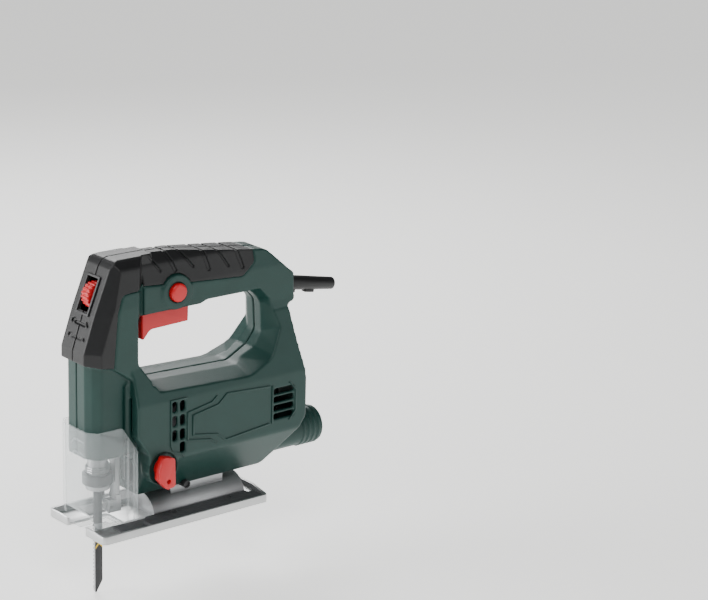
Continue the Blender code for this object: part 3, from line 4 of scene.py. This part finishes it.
import bpy
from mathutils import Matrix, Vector

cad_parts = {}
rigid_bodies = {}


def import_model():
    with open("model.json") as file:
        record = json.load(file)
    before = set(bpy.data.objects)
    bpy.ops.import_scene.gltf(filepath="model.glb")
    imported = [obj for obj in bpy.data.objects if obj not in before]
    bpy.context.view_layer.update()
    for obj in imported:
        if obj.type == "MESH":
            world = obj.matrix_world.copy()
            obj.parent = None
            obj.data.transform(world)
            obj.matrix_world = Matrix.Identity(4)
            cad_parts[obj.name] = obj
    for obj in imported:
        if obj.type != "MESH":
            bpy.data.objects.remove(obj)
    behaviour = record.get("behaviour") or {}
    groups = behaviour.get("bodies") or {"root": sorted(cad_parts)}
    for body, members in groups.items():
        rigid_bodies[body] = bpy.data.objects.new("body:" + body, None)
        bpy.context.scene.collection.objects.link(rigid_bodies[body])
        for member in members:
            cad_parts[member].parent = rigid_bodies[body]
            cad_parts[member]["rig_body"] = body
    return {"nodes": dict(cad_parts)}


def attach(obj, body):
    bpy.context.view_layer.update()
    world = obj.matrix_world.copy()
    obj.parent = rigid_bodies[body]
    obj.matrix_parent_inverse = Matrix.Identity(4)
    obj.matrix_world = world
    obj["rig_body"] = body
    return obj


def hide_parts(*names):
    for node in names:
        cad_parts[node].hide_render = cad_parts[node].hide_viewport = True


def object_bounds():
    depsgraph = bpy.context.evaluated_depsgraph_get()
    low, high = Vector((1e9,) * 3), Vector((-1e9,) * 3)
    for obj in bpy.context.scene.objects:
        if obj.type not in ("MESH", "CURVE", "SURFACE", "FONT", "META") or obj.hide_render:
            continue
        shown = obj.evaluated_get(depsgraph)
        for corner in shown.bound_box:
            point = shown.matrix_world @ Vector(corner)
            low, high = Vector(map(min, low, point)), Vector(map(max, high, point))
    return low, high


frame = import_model()
cad_box = [list(corner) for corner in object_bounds()]

MM = 0.001
BEHIND_BLADE = -0.030  # the blade's axis, ahead of the frame's origin


def at(x, y, z):
    """A point in metres from millimetres measured at the blade's axis."""
    return Vector((x * MM + BEHIND_BLADE, y * MM, z * MM))


# ---------------------------------------------------------------- camera, lights and floor

CAMERA_PLACE = (-0.93798, -1.36756, 0.67018)
CAMERA_TURN = (73.191, -1.452, -39.559)
CAMERA_LENS = 121.667


def camera():
    lens = bpy.data.cameras.new("camera")
    lens.lens = CAMERA_LENS
    lens.sensor_width = 36
    lens.clip_end = 20
    eye = bpy.data.objects.new("camera", lens)
    eye.location = CAMERA_PLACE
    eye.rotation_euler = [math.radians(angle) for angle in CAMERA_TURN]
    bpy.context.scene.collection.objects.link(eye)
    bpy.context.scene.camera = eye


def area_light(name, place, target, size, power):
    lamp = bpy.data.lights.new(name, "AREA")
    lamp.shape = "RECTANGLE"
    lamp.size, lamp.size_y = size
    lamp.energy = power
    light = bpy.data.objects.new(name, lamp)
    light.location = place
    aim = Vector(target) - Vector(place)
    light.rotation_euler = aim.to_track_quat("-Z", "Y").to_euler()
    bpy.context.scene.collection.objects.link(light)


def studio():
    world = bpy.data.worlds.new("studio")
    world.use_nodes = True
    sky = world.node_tree.nodes["Background"]
    sky.inputs["Color"].default_value = (1, 1, 1, 1)
    sky.inputs["Strength"].default_value = 0.12
    bpy.context.scene.world = world
    aim = (0.06, 0, 0.1)
    area_light("key_light", (-0.5, -0.9, 1.5), aim, (0.7, 0.7), 12)
    area_light("front_light", (-1.2, 0.75, 0.5), aim, (0.9, 1.0), 24)
    area_light("side_light", (0.9, -1.3, 0.5), aim, (0.5, 0.9), 4)
    area_light("rim_light", (0.5, 1.0, 0.9), aim, (0.8, 0.6), 14)


def floor(low):
    bpy.ops.mesh.primitive_plane_add(size=8, location=(0.5, 0.8, low))
    ground = bpy.context.object
    ground.name = "floor"
    paint = Shader("floor_paint")
    cloud = paint.noise(3, 2)
    colour = paint.mix(cloud, (0.86, 0.86, 0.85), (0.9, 0.9, 0.89))
    paint.finish(colour, 0.6, Emission_Color=(1, 1, 0.98, 1), Emission_Strength=0.9)
    ground.data.materials.append(paint.material)


# ---------------------------------------------------------------- shader maths


class Value:
    """A socket that takes part in arithmetic."""

    def __init__(self, shader, socket):
        self.shader = shader
        self.socket = socket

    def maths(self, operation, first, second=None):
        return self.shader.node("ShaderNodeMath", {"operation": operation}, [first, second])

    def __add__(self, other):
        return self.maths("ADD", self, other)

    __radd__ = __add__

    def __mul__(self, other):
        return self.maths("MULTIPLY", self, other)

    __rmul__ = __mul__

    def __sub__(self, other):
        return self.maths("SUBTRACT", self, other)

    def __rsub__(self, other):
        return self.maths("SUBTRACT", other, self)

    def __gt__(self, other):
        return self.maths("GREATER_THAN", self, other)

    def __lt__(self, other):
        return self.maths("LESS_THAN", self, other)

    def __abs__(self):
        return self.maths("ABSOLUTE", self)

    def __mod__(self, other):
        return self.maths("FLOORED_MODULO", self, other)


class Shader:
    """One material, with the few nodes that this object's finishes are made of."""

    def __init__(self, name):
        self.material = bpy.data.materials.new(name)
        self.material.use_nodes = True
        self.tree = self.material.node_tree
        self.surface = self.tree.nodes["Principled BSDF"]
        self.place = self.node("ShaderNodeTexCoord", {}, {}, "Object")

    def node(self, kind, settings, inputs, output=0):
        made = self.tree.nodes.new(kind)
        for key, value in settings.items():
            setattr(made, key, value)
        pairs = inputs.items() if isinstance(inputs, dict) else enumerate(inputs)
        for key, value in pairs:
            if value is None:
                continue
            self.feed(made.inputs[key], value)
        return Value(self, made.outputs[output])

    def feed(self, socket, value):
        if isinstance(value, Value):
            self.tree.links.new(value.socket, socket)
        elif isinstance(value, (tuple, list)) and len(value) == 3 and socket.type == "RGBA":
            socket.default_value = (*value, 1)
        else:
            socket.default_value = value

    def noise(self, scale, detail=2, roughness=0.5):
        inputs = {"Vector": self.place, "Scale": scale, "Detail": detail, "Roughness": roughness}
        return self.node("ShaderNodeTexNoise", {}, inputs, "Fac")

    def axes(self):
        made = self.tree.nodes.new("ShaderNodeSeparateXYZ")
        self.tree.links.new(self.place.socket, made.inputs[0])
        return [Value(self, made.outputs[i]) for i in range(3)]

    def mix(self, share, first, second):
        made = self.tree.nodes.new("ShaderNodeMix")
        made.data_type = "RGBA"
        self.feed(made.inputs[0], share)
        self.feed(made.inputs[6], first)
        self.feed(made.inputs[7], second)
        return Value(self, made.outputs[2])

    def bump(self, height, distance, strength=1.0):
        inputs = {"Strength": strength, "Distance": distance, "Height": height}
        return self.node("ShaderNodeBump", {}, inputs, "Normal")

    def finish(self, colour, roughness, metallic=0.0, normal=None, **constants):
        self.feed(self.surface.inputs["Base Color"], colour)
        self.feed(self.surface.inputs["Roughness"], roughness)
        self.feed(self.surface.inputs["Metallic"], metallic)
        if normal:
            self.feed(self.surface.inputs["Normal"], normal)
        for key, value in constants.items():
            self.surface.inputs[key.replace("_", " ")].default_value = value
        return self.material


# ---------------------------------------------------------------- finishes


def moulded_green():
    """Dark green glass-filled nylon with a fine spark-eroded texture."""
    paint = Shader("moulded_green")
    cloud = paint.noise(60, 3)
    grit = paint.noise(1900, 2)
    colour = paint.mix(cloud, (0.005, 0.034, 0.028), (0.008, 0.046, 0.038))
    return paint.finish(colour, 0.34 + 0.16 * grit, 0.0, paint.bump(grit, 0.00014, 0.6),
                        Specular_IOR_Level=0.4)


def soft_grip():
    """Black rubbery overmould."""
    paint = Shader("soft_grip")
    cloud = paint.noise(80, 3)
    grit = paint.noise(2600, 1)
    colour = paint.mix(cloud, (0.005, 0.0055, 0.006), (0.011, 0.0115, 0.0125))
    return paint.finish(colour, 0.36 + 0.16 * grit, 0.0, paint.bump(grit, 0.00008, 0.5),
                        Specular_IOR_Level=0.4)


def red_plastic():
    paint = Shader("red_plastic")
    cloud = paint.noise(90, 2)
    grit = paint.noise(1700, 1)
    colour = paint.mix(cloud, (0.55, 0.006, 0.011), (0.66, 0.012, 0.017))
    return paint.finish(colour, 0.3 + 0.12 * grit, 0.0, paint.bump(grit, 0.00005, 0.4))


def clear_plastic():
    """Clear polycarbonate: mostly see-through, with a faint haze of scuffs."""
    paint = Shader("clear_plastic")
    scuff = paint.noise(260, 4, 0.7)
    edge = paint.node("ShaderNodeLayerWeight", {}, {"Blend": 0.5}, "Facing")
    paint.feed(paint.surface.inputs["Alpha"], 0.15 + 0.55 * edge * edge * edge)
    return paint.finish((0.8, 0.86, 0.87), 0.05 + 0.08 * scuff, IOR=1.49)


def sheet_steel():
    """Plated pressed steel with faint drawing lines along its length."""
    paint = Shader("sheet_steel")
    x, y, z = paint.axes()
    lines = paint.node("ShaderNodeCombineXYZ", {}, [x * 30, y * 1400, z * 600])
    streak = paint.node("ShaderNodeTexNoise", {}, {"Vector": lines, "Scale": 1.0, "Detail": 2.0}, "Fac")
    cloud = paint.noise(45, 3)
    colour = paint.mix(cloud, (0.5, 0.51, 0.51), (0.6, 0.61, 0.61))
    return paint.finish(colour, 0.24 + 0.22 * streak, 0.92, paint.bump(streak, 0.00003, 0.4))


def cast_metal():
    """Tumbled die-cast metal."""
    paint = Shader("cast_metal")
    cloud = paint.noise(70, 3)
    grit = paint.noise(900, 3)
    colour = paint.mix(cloud, (0.4, 0.41, 0.42), (0.52, 0.53, 0.54))
    return paint.finish(colour, 0.34 + 0.2 * grit, 0.9, paint.bump(grit, 0.00008, 0.5))


def turned_steel():
    """Ground and turned steel for shafts, gears, pins and screws."""
    paint = Shader("turned_steel")
    cloud = paint.noise(120, 2)
    ring = paint.noise(700, 2)
    colour = paint.mix(cloud, (0.52, 0.53, 0.54), (0.63, 0.63, 0.64))
    return paint.finish(colour, 0.22 + 0.18 * ring, 0.95, paint.bump(ring, 0.00002, 0.4))


def grey_cover():
    """Dark grey moulded cover with a coarse grain."""
    paint = Shader("grey_cover")
    cloud = paint.noise(60, 2)
    grit = paint.noise(1200, 2)
    colour = paint.mix(cloud, (0.055, 0.058, 0.062), (0.078, 0.082, 0.086))
    return paint.finish(colour, 0.45 + 0.15 * grit, 0.0, paint.bump(grit, 0.0001, 0.6))


def dark_plastic():
    paint = Shader("dark_plastic")
    cloud = paint.noise(70, 2)
    grit = paint.noise(1500, 2)
    colour = paint.mix(cloud, (0.022, 0.023, 0.025), (0.035, 0.036, 0.038))
    return paint.finish(colour, 0.4 + 0.15 * grit, 0.0, paint.bump(grit, 0.00008, 0.5))


def copper_winding():
    paint = Shader("copper_winding")
    x, y, z = paint.axes()
    strand = abs((x * 1100) % 1 - 0.5)
    colour = paint.mix(strand, (0.45, 0.16, 0.06), (0.75, 0.34, 0.16))
    return paint.finish(colour, 0.3 + 0.2 * strand, 0.9, paint.bump(strand, 0.0002, 0.5))


def laminated_iron():
    paint = Shader("laminated_iron")
    x, y, z = paint.axes()
    sheet = abs((x * 1000) % 1 - 0.5)
    colour = paint.mix(sheet, (0.16, 0.16, 0.17), (0.3, 0.3, 0.31))
    return paint.finish(colour, 0.45 + 0.2 * sheet, 0.8, paint.bump(sheet, 0.0002, 0.5))


def carbon():
    paint = Shader("carbon")
    grit = paint.noise(1500, 3)
    colour = paint.mix(grit, (0.012, 0.012, 0.013), (0.03, 0.03, 0.031))
    return paint.finish(colour, 0.55 + 0.2 * grit, 0.1, paint.bump(grit, 0.0001, 0.5))


def blade_steel():
    """Black coated blade with bright ground teeth and two yellow chevrons."""
    paint = Shader("blade_steel")
    x, y, z = paint.axes()
    grit = paint.noise(500, 2)
    ground = (x < BEHIND_BLADE - 3.0 * MM) * (z < -0.0 * MM)
    chevron = abs(x - BEHIND_BLADE - 0.5 * MM) * 1.1 + z
    stripe = ((chevron % (5 * MM)) < 2 * MM) * (chevron > -17 * MM) * (chevron < -7 * MM)
    band = stripe * (x > BEHIND_BLADE - 2.6 * MM)
    dark = paint.mix(grit, (0.02, 0.02, 0.022), (0.035, 0.035, 0.037))
    painted = paint.mix(band, dark, (0.75, 0.5, 0.02))
    colour = paint.mix(ground, painted, (0.55, 0.55, 0.56))
    return paint.finish(colour, 0.3 + 0.2 * grit, 0.3 + 0.5 * ground, paint.bump(grit, 0.00003, 0.4))


# ---------------------------------------------------------------- making pieces


def only(piece):
    """Nothing but this piece selected and active."""
    bpy.ops.object.select_all(action="DESELECT")
    piece.select_set(True)
    bpy.context.view_layer.objects.active = piece


def apply(piece, kind, **settings):
    """A modifier added to the piece and applied."""
    only(piece)
    modifier = piece.modifiers.new(kind.lower(), kind)
    for key, value in settings.items():
        setattr(modifier, key, value)
    bpy.ops.object.modifier_apply(modifier=modifier.name)


def merged_copy(node, name):
    """A copy of a CAD node's mesh with its loose triangles merged."""
    source = frame["nodes"][node]
    piece = bpy.data.objects.new(name, source.data.copy())
    bpy.context.scene.collection.objects.link(piece)
    only(piece)
    bpy.ops.object.mode_set(mode="EDIT")
    bpy.ops.mesh.select_all(action="SELECT")
    bpy.ops.mesh.remove_doubles(threshold=0.000002)
    bpy.ops.object.mode_set(mode="OBJECT")
    return piece


def dress(piece, finish, body, *nodes):
    """The piece's finish, the body that it moves with and the CAD nodes that it stands for."""
    piece.data.materials.clear()
    piece.data.materials.append(finish)
    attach(piece, body)
    if nodes:
        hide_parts(*nodes)
    return piece


def moulded(node, name, grain, rounds, keep=1.0):
    """A casing shell with the soft edges of a moulding: remeshed finely, then eased."""
    piece = merged_copy(node, name)
    apply(piece, "REMESH", mode="VOXEL", voxel_size=grain)
    apply(piece, "SMOOTH", factor=0.5, iterations=rounds)
    if keep < 1:
        apply(piece, "DECIMATE", ratio=keep)
    bpy.ops.object.shade_smooth()
    return piece


def crisp(node, name, width, segments=2, angle=30):
    """A hard piece with small bevels on its sharp edges."""
    piece = merged_copy(node, name)
    bpy.ops.object.mode_set(mode="EDIT")
    bpy.ops.mesh.select_all(action="SELECT")
    bpy.ops.mesh.dissolve_limited(angle_limit=math.radians(1))
    bpy.ops.object.mode_set(mode="OBJECT")
    apply(piece, "BEVEL", width=width, segments=segments, limit_method="ANGLE",
          angle_limit=math.radians(angle), use_clamp_overlap=True)
    bpy.ops.object.shade_smooth_by_angle(angle=math.radians(35))
    return piece


# ---------------------------------------------------------------- modelling by hand


def edit(piece):
    only(piece)
    bpy.ops.object.mode_set(mode="EDIT")
    bpy.ops.mesh.select_all(action="SELECT")


def settle(piece):
    """Faces turned outwards, and the piece's place moved into its mesh."""
    edit(piece)
    bpy.ops.mesh.remove_doubles(threshold=0.000001)
    bpy.ops.mesh.normals_make_consistent(inside=False)
    bpy.ops.object.mode_set(mode="OBJECT")
    bpy.ops.object.transform_apply(location=True, rotation=True, scale=True)
    return piece


def block(name, centre, size, turn=0.0):
    """A cube made to size, turned about the Y axis by so many degrees."""
    bpy.ops.object.select_all(action="DESELECT")
    bpy.ops.mesh.primitive_cube_add(size=1, location=at(*centre), rotation=(0, math.radians(turn), 0))
    piece = bpy.context.object
    piece.name = name
    piece.scale = [side * MM for side in size]
    bpy.ops.object.transform_apply(location=True, rotation=True, scale=True)
    return piece


def cylinder(name, centre, radius, length, axis="Y", sides=32):
    """A cylinder made to size along one axis."""
    turn = {"X": (0, math.pi / 2, 0), "Y": (math.pi / 2, 0, 0), "Z": (0, 0, 0)}[axis]
    bpy.ops.object.select_all(action="DESELECT")
    bpy.ops.mesh.primitive_cylinder_add(vertices=sides, radius=radius * MM, depth=length * MM,
                                        location=at(*centre), rotation=turn)
    piece = bpy.context.object
    piece.name = name
    bpy.ops.object.transform_apply(location=True, rotation=True, scale=True)
    return piece


def drawn(name, path, width, height, across):
    """A bar extruded from point to point, its section a small rectangle square to one axis."""
    turn = {"X": (0, math.pi / 2, 0), "Y": (math.pi / 2, 0, 0), "Z": (0, 0, 0)}[across]
    bpy.ops.object.select_all(action="DESELECT")
    bpy.ops.mesh.primitive_plane_add(size=1, location=at(*path[0]), rotation=turn)
    piece = bpy.context.object
    piece.name = name
    piece.scale = (width * MM, height * MM, 1)
    bpy.ops.object.transform_apply(location=True, rotation=True, scale=True)
    edit(piece)
    for here, there in zip(path, path[1:]):
        step = (Vector(there) - Vector(here)) * MM
        bpy.ops.mesh.extrude_region_move(TRANSFORM_OT_translate={"value": step})
    bpy.ops.object.mode_set(mode="OBJECT")
    return settle(piece)


def soften(piece, width, segments=2):
    apply(piece, "BEVEL", width=width, segments=segments, limit_method="ANGLE",
          angle_limit=math.radians(30), use_clamp_overlap=True)
    bpy.ops.object.shade_smooth_by_angle(angle=math.radians(35))
    return piece


def joined(name, *pieces):
    bpy.ops.object.select_all(action="DESELECT")
    for piece in pieces:
        piece.select_set(True)
    bpy.context.view_layer.objects.active = pieces[0]
    bpy.ops.object.join()
    pieces[0].name = name
    return pieces[0]


def carve(piece, tool, operation="DIFFERENCE"):
    """The piece after an exact Boolean with a tool that stays for other cuts."""
    apply(piece, "BOOLEAN", operation=operation, object=tool, solver="EXACT", use_self=True)


def discard(*pieces):
    for piece in pieces:
        bpy.data.objects.remove(piece, do_unlink=True)


# ---------------------------------------------------------------- the casing and the handle

FACE_TILT = 22.1  # the hood's front panel leans back by this many degrees
FACE_CENTRE = (-11.5, 166)  # X and Z of the middle of that panel, in mm
SHELL_GRAIN = 0.9 * MM  # the casing's remeshing size
COVER_GRAIN = 0.55 * MM  # the soft cover's, finer for its grooves
GROOVE_WIDTH = 1.8
GROOVE_DEPTH = 4.0  # half of it is inside the panel
TIP_LIFT = 1.3  # how far up the panel a groove's end sits
TIP_PLACE = 8.4  # from the middle to the centre of a groove's end
SIDE_FACE = 31.95  # half width at which the raised outlines start


def casing(finish):
    for side in ("left", "right"):
        shell = moulded("housing_" + side, "shell_" + side, SHELL_GRAIN, 3, 0.6)
        dress(shell, finish["green"], "housing", "housing_" + side)


def handle_grooves():
    """Slabs for the three wide slots and three narrow grooves over the top of the handle."""
    slabs = []
    for x, z, lean, width in ((56, 195, 22, 2.4), (86.5, 192, 14, 2.4), (116.5, 188.5, 17, 2.4),
                              (41.5, 196, 35, 1.3), (70, 194.5, 39, 1.3), (102, 190.5, 32, 1.3)):
        slabs.append(block("slab", (x, 0, z), (width, 60, 17), -lean))
    return joined("handle_slabs", *slabs)


def face_point(up, out):
    """A point on the hood's front panel, so far up its slope and so far out of it."""
    tilt = math.radians(FACE_TILT)
    x, z = FACE_CENTRE
    return x + up * math.sin(tilt) - out * math.cos(tilt), z + up * math.cos(tilt) + out * math.sin(tilt)


def hood_grooves():
    """Three grooves across the hood's front panel, each turned up at its ends."""
    bars = []
    for up in (-9.4, -20, -32):
        x, z = face_point(up, 0)
        bars.append(block("bar", (x, 0, z), (GROOVE_DEPTH, 14, GROOVE_WIDTH), -FACE_TILT))
        for side in (-1, 1):
            x, z = face_point(up + TIP_LIFT, 0)
            tip = block("tip", (x, side * TIP_PLACE, z), (GROOVE_DEPTH, 4.6, GROOVE_WIDTH), -FACE_TILT)
            edit(tip)
            bpy.ops.transform.rotate(value=math.radians(side * 35), orient_axis="X",
                                     center_override=at(x, side * TIP_PLACE, z))
            bpy.ops.object.mode_set(mode="OBJECT")
            bars.append(tip)
    return joined("hood_bars", *bars)


def grips(finish):
    """The overmould with its grooves cut through, and the grooves' floors a little deeper."""
    slabs, bars = handle_grooves(), hood_grooves()
    for side in ("left", "right"):
        cover = merged_copy("grip_" + side, "soft_cover_" + side)
        for name, tool, shrink, sink in (("slot_floor_", slabs, 0.955, (0.25, 0, -0.75)),
                                         ("face_floor_", bars, 1.0, (1.15, 0, -0.47))):
            beneath = merged_copy("grip_" + side, name + side)
            carve(beneath, tool, "INTERSECT")
            edit(beneath)
            bpy.ops.transform.resize(value=(1, shrink, 1), center_override=(0, 0, 0))
            bpy.ops.transform.translate(value=[step * MM for step in sink])
            bpy.ops.object.mode_set(mode="OBJECT")
            dress(beneath, finish["rubber"], "housing")
        carve(cover, slabs)
        carve(cover, bars)
        apply(cover, "REMESH", mode="VOXEL", voxel_size=COVER_GRAIN)
        apply(cover, "SMOOTH", factor=0.5, iterations=3)
        apply(cover, "DECIMATE", ratio=0.5)
        bpy.ops.object.shade_smooth()
        dress(cover, finish["rubber"], "housing", "grip_" + side)
    discard(slabs, bars)


def window_frame(finish):
    """The raised black surround of the speed wheel's window."""
    x, z = face_point(12.6, 0.3)
    bpy.ops.object.select_all(action="DESELECT")
    lean = (0, math.radians(-90 + FACE_TILT), 0)
    bpy.ops.mesh.primitive_plane_add(size=1, location=at(x, 0, z), rotation=lean)
    frame_ring = bpy.context.object
    frame_ring.name = "window_frame"
    frame_ring.scale = (29.5 * MM, 16.4 * MM, 1)
    bpy.ops.object.transform_apply(location=True, rotation=True, scale=True)
    edit(frame_ring)
    bpy.ops.mesh.inset(thickness=1.7 * MM)
    bpy.ops.mesh.delete(type="FACE")
    bpy.ops.mesh.select_all(action="SELECT")
    tilt = math.radians(FACE_TILT)
    out = Vector((-math.cos(tilt), 0, math.sin(tilt))) * 1.0 * MM
    bpy.ops.mesh.extrude_region_move(TRANSFORM_OT_translate={"value": out})
    bpy.ops.object.mode_set(mode="OBJECT")
    settle(frame_ring)
    soften(frame_ring, 0.25 * MM)
    dress(frame_ring, finish["dark"], "housing")


SIDE_LINES = {
    # name: the axis its section is square to, points of X and Z on the casing's flat side
    "panel_edge_a": ("X", ((57, 84.5), (79, 88.5), (84, 92.5))),
    "panel_edge_b": ("X", ((62, 81.5), (85, 85.5), (93, 92.5), (133, 90))),
    "panel_edge_c": ("X", ((62, 66.5), (85, 62.5), (92, 56.5), (133, 60.5))),
    "panel_edge_d": ("X", ((57, 63.5), (79, 59.5), (84, 55.5))),
    "panel_edge_e": ("Z", ((57.5, 63), (57.5, 85))),
    "panel_edge_f": ("Z", ((62.5, 66), (62.5, 82))),
    "vent_edge_a": ("Z", ((42.6, 96.5), (42.6, 62), (44, 58.5))),
    "vent_edge_b": ("X", ((43.5, 59), (47, 56), (51, 54.6), (54.5, 51))),
    "vent_edge_c": ("X", ((42, 96.5), (57, 96.5))),
    "rear_edge_a": ("Z", ((151.5, 90), (157.6, 83), (157.6, 67), (151.5, 60))),
    "rear_edge_b": ("Z", ((135.4, 90), (135.4, 60))),
}


def side_lines(finish):
    """The raised outlines on both of the casing's sides."""
    for side, suffix in ((-1, "left"), (1, "right")):
        for name, (across, points) in SIDE_LINES.items():
            path = [(x, side * SIDE_FACE, z) for x, z in points]
            line = drawn(name + "_" + suffix, path, 1.5, 1.7, across)
            soften(line, 0.35 * MM)
            dress(line, finish["green"], "housing")


def guard_details(finish):
    """Rails down the guard's sides and two raised chevrons on its front."""
    for side, suffix in ((-1, "left"), (1, "right")):
        for i, (x, width, top) in enumerate(((11.2, 1.6, 70), (16.6, 1.4, 64), (19.2, 1.4, 60))):
            rail = block("guard_rail_{}_{}".format(suffix, i + 1), (x, side * 22.6, (8 + top) / 2),
                         (width, 1.3, top - 8))
            soften(rail, 0.3 * MM)
            dress(rail, finish["clear"], "guard")
    for i, z in enumerate((72.5, 63.5)):
        path = [(-20.6, -13, z), (-20.6, -1, z), (-20.6, 2, z - 4)]
        line = drawn("guard_chevron_{}".format(i + 1), path, 1.2, 1.1, "Y")
        soften(line, 0.25 * MM)
        dress(line, finish["clear"], "guard")


def small_pieces(finish):
    """The hex key's end under the casing and the clips under the cable sleeve."""
    key = cylinder("hex_key_end", (67.5, -14.5, 22.2), 3, 7, "Y", 24)
    edit(key)
    bpy.ops.mesh.select_all(action="DESELECT")
    bpy.ops.object.mode_set(mode="OBJECT")
    for polygon in key.data.polygons:
        polygon.select = polygon.normal.y < -0.9
    bpy.ops.object.mode_set(mode="EDIT")
    bpy.ops.mesh.inset(thickness=0.9 * MM)
    bpy.ops.mesh.extrude_region_move(TRANSFORM_OT_translate={"value": (0, 1.5 * MM, 0)})
    bpy.ops.object.mode_set(mode="OBJECT")
    soften(key, 0.25 * MM)
    dress(key, finish["dark"], "housing")
    for i, (x, z, length) in enumerate(((177, 149.8, 4), (193, 147.4, 9))):
        clip = block("sleeve_clip_{}".format(i + 1), (x, 0, z), (length, 5, 3), 10)
        soften(clip, 0.8 * MM, 3)
        dress(clip, finish["rubber"], "housing")


CRISP = {
    # node: finish, material slot, bevel width
    "trigger": ("red", "control_red", 0.0007),
    "lock_button": ("red", "control_red", 0.0006),
    "speed_wheel": ("red", "control_red", 0.0003),
    "orbit_lever": ("red", "control_red", 0.0006),
    "chip_guard": ("clear", "clear_plastic", 0.0006),
    "sole_plate": ("sheet", "bright_steel", 0.0008),
    "tilt_bracket": ("cast", "bright_steel", 0.0006),
    "tilt_saddle": ("cast", "cast_zinc", 0.0003),
    "tilt_screw": ("steel", "bright_steel", 0.0003),
    "sole_cover_left": ("grey", "panel_grey", 0.0004),
    "sole_cover_right": ("grey", "panel_grey", 0.0004),
    "splinter_insert": ("clear", "clear_plastic", 0.0003),
    "saw_blade": ("blade", "blade_black", 0.00012),
    "blade_holder": ("cast", "bright_steel", 0.0003),
    "clamp_lever": ("dark", "dark_plastic", 0.0005),
    "clamp_shoe": ("cast", "bright_steel", 0.0003),
    "plunger": ("steel", "bright_steel", 0.0003),
    "backing_roller": ("steel", "bright_steel", 0.0003),
    "orbit_fork": ("cast", "bright_steel", 0.0003),
    "dust_nozzle": ("green", "casing_green", 0.0005),
    "cable_sleeve": ("rubber", "grip_black", 0.0004),
}


def hard_pieces(finish, owner):
    for node, (look, slot, width) in CRISP.items():
        piece = crisp(node, node + "_piece", width)
        dress(piece, finish[look], owner[node], node)


INSIDE = {
    "steel": ("armature_shaft", "bearing_front", "bearing_rear", "crank_roller", "drive_gear",
              "fork_pin", "gear_axle", "lower_bush", "upper_bush", "roller_pin", "wheel_pin",
              "clamp_spring", "trigger_spring", "casing_screw_1", "casing_screw_2",
              "casing_screw_3", "casing_screw_4", "casing_screw_5", "casing_screw_6"),
    "copper": ("brush_holder_left", "brush_holder_right", "commutator"),
    "iron": ("stator", "armature_core"),
    "dark": ("fan", "speed_module", "switch_body"),
    "carbon": ("brush_left", "brush_right"),
}


def inside(finish, nodes):
    for look, names in INSIDE.items():
        for name in names:
            mesh = nodes[name].data
            mesh.materials.clear()
            mesh.materials.append(finish[look])


def build():
    finish = {
        "green": moulded_green(),
        "rubber": soft_grip(),
        "red": red_plastic(),
        "clear": clear_plastic(),
        "sheet": sheet_steel(),
        "cast": cast_metal(),
        "steel": turned_steel(),
        "grey": grey_cover(),
        "dark": dark_plastic(),
        "copper": copper_winding(),
        "iron": laminated_iron(),
        "carbon": carbon(),
        "blade": blade_steel(),
    }
    nodes = frame["nodes"]
    owner = {name: piece["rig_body"] for name, piece in nodes.items()}
    bpy.ops.object.select_all(action="DESELECT")
    camera()
    studio()
    low = min(corner[2] for corner in cad_box)
    floor(low)
    inside(finish, nodes)
    casing(finish)
    grips(finish)
    hard_pieces(finish, owner)
    window_frame(finish)
    side_lines(finish)
    guard_details(finish)
    small_pieces(finish)


build()
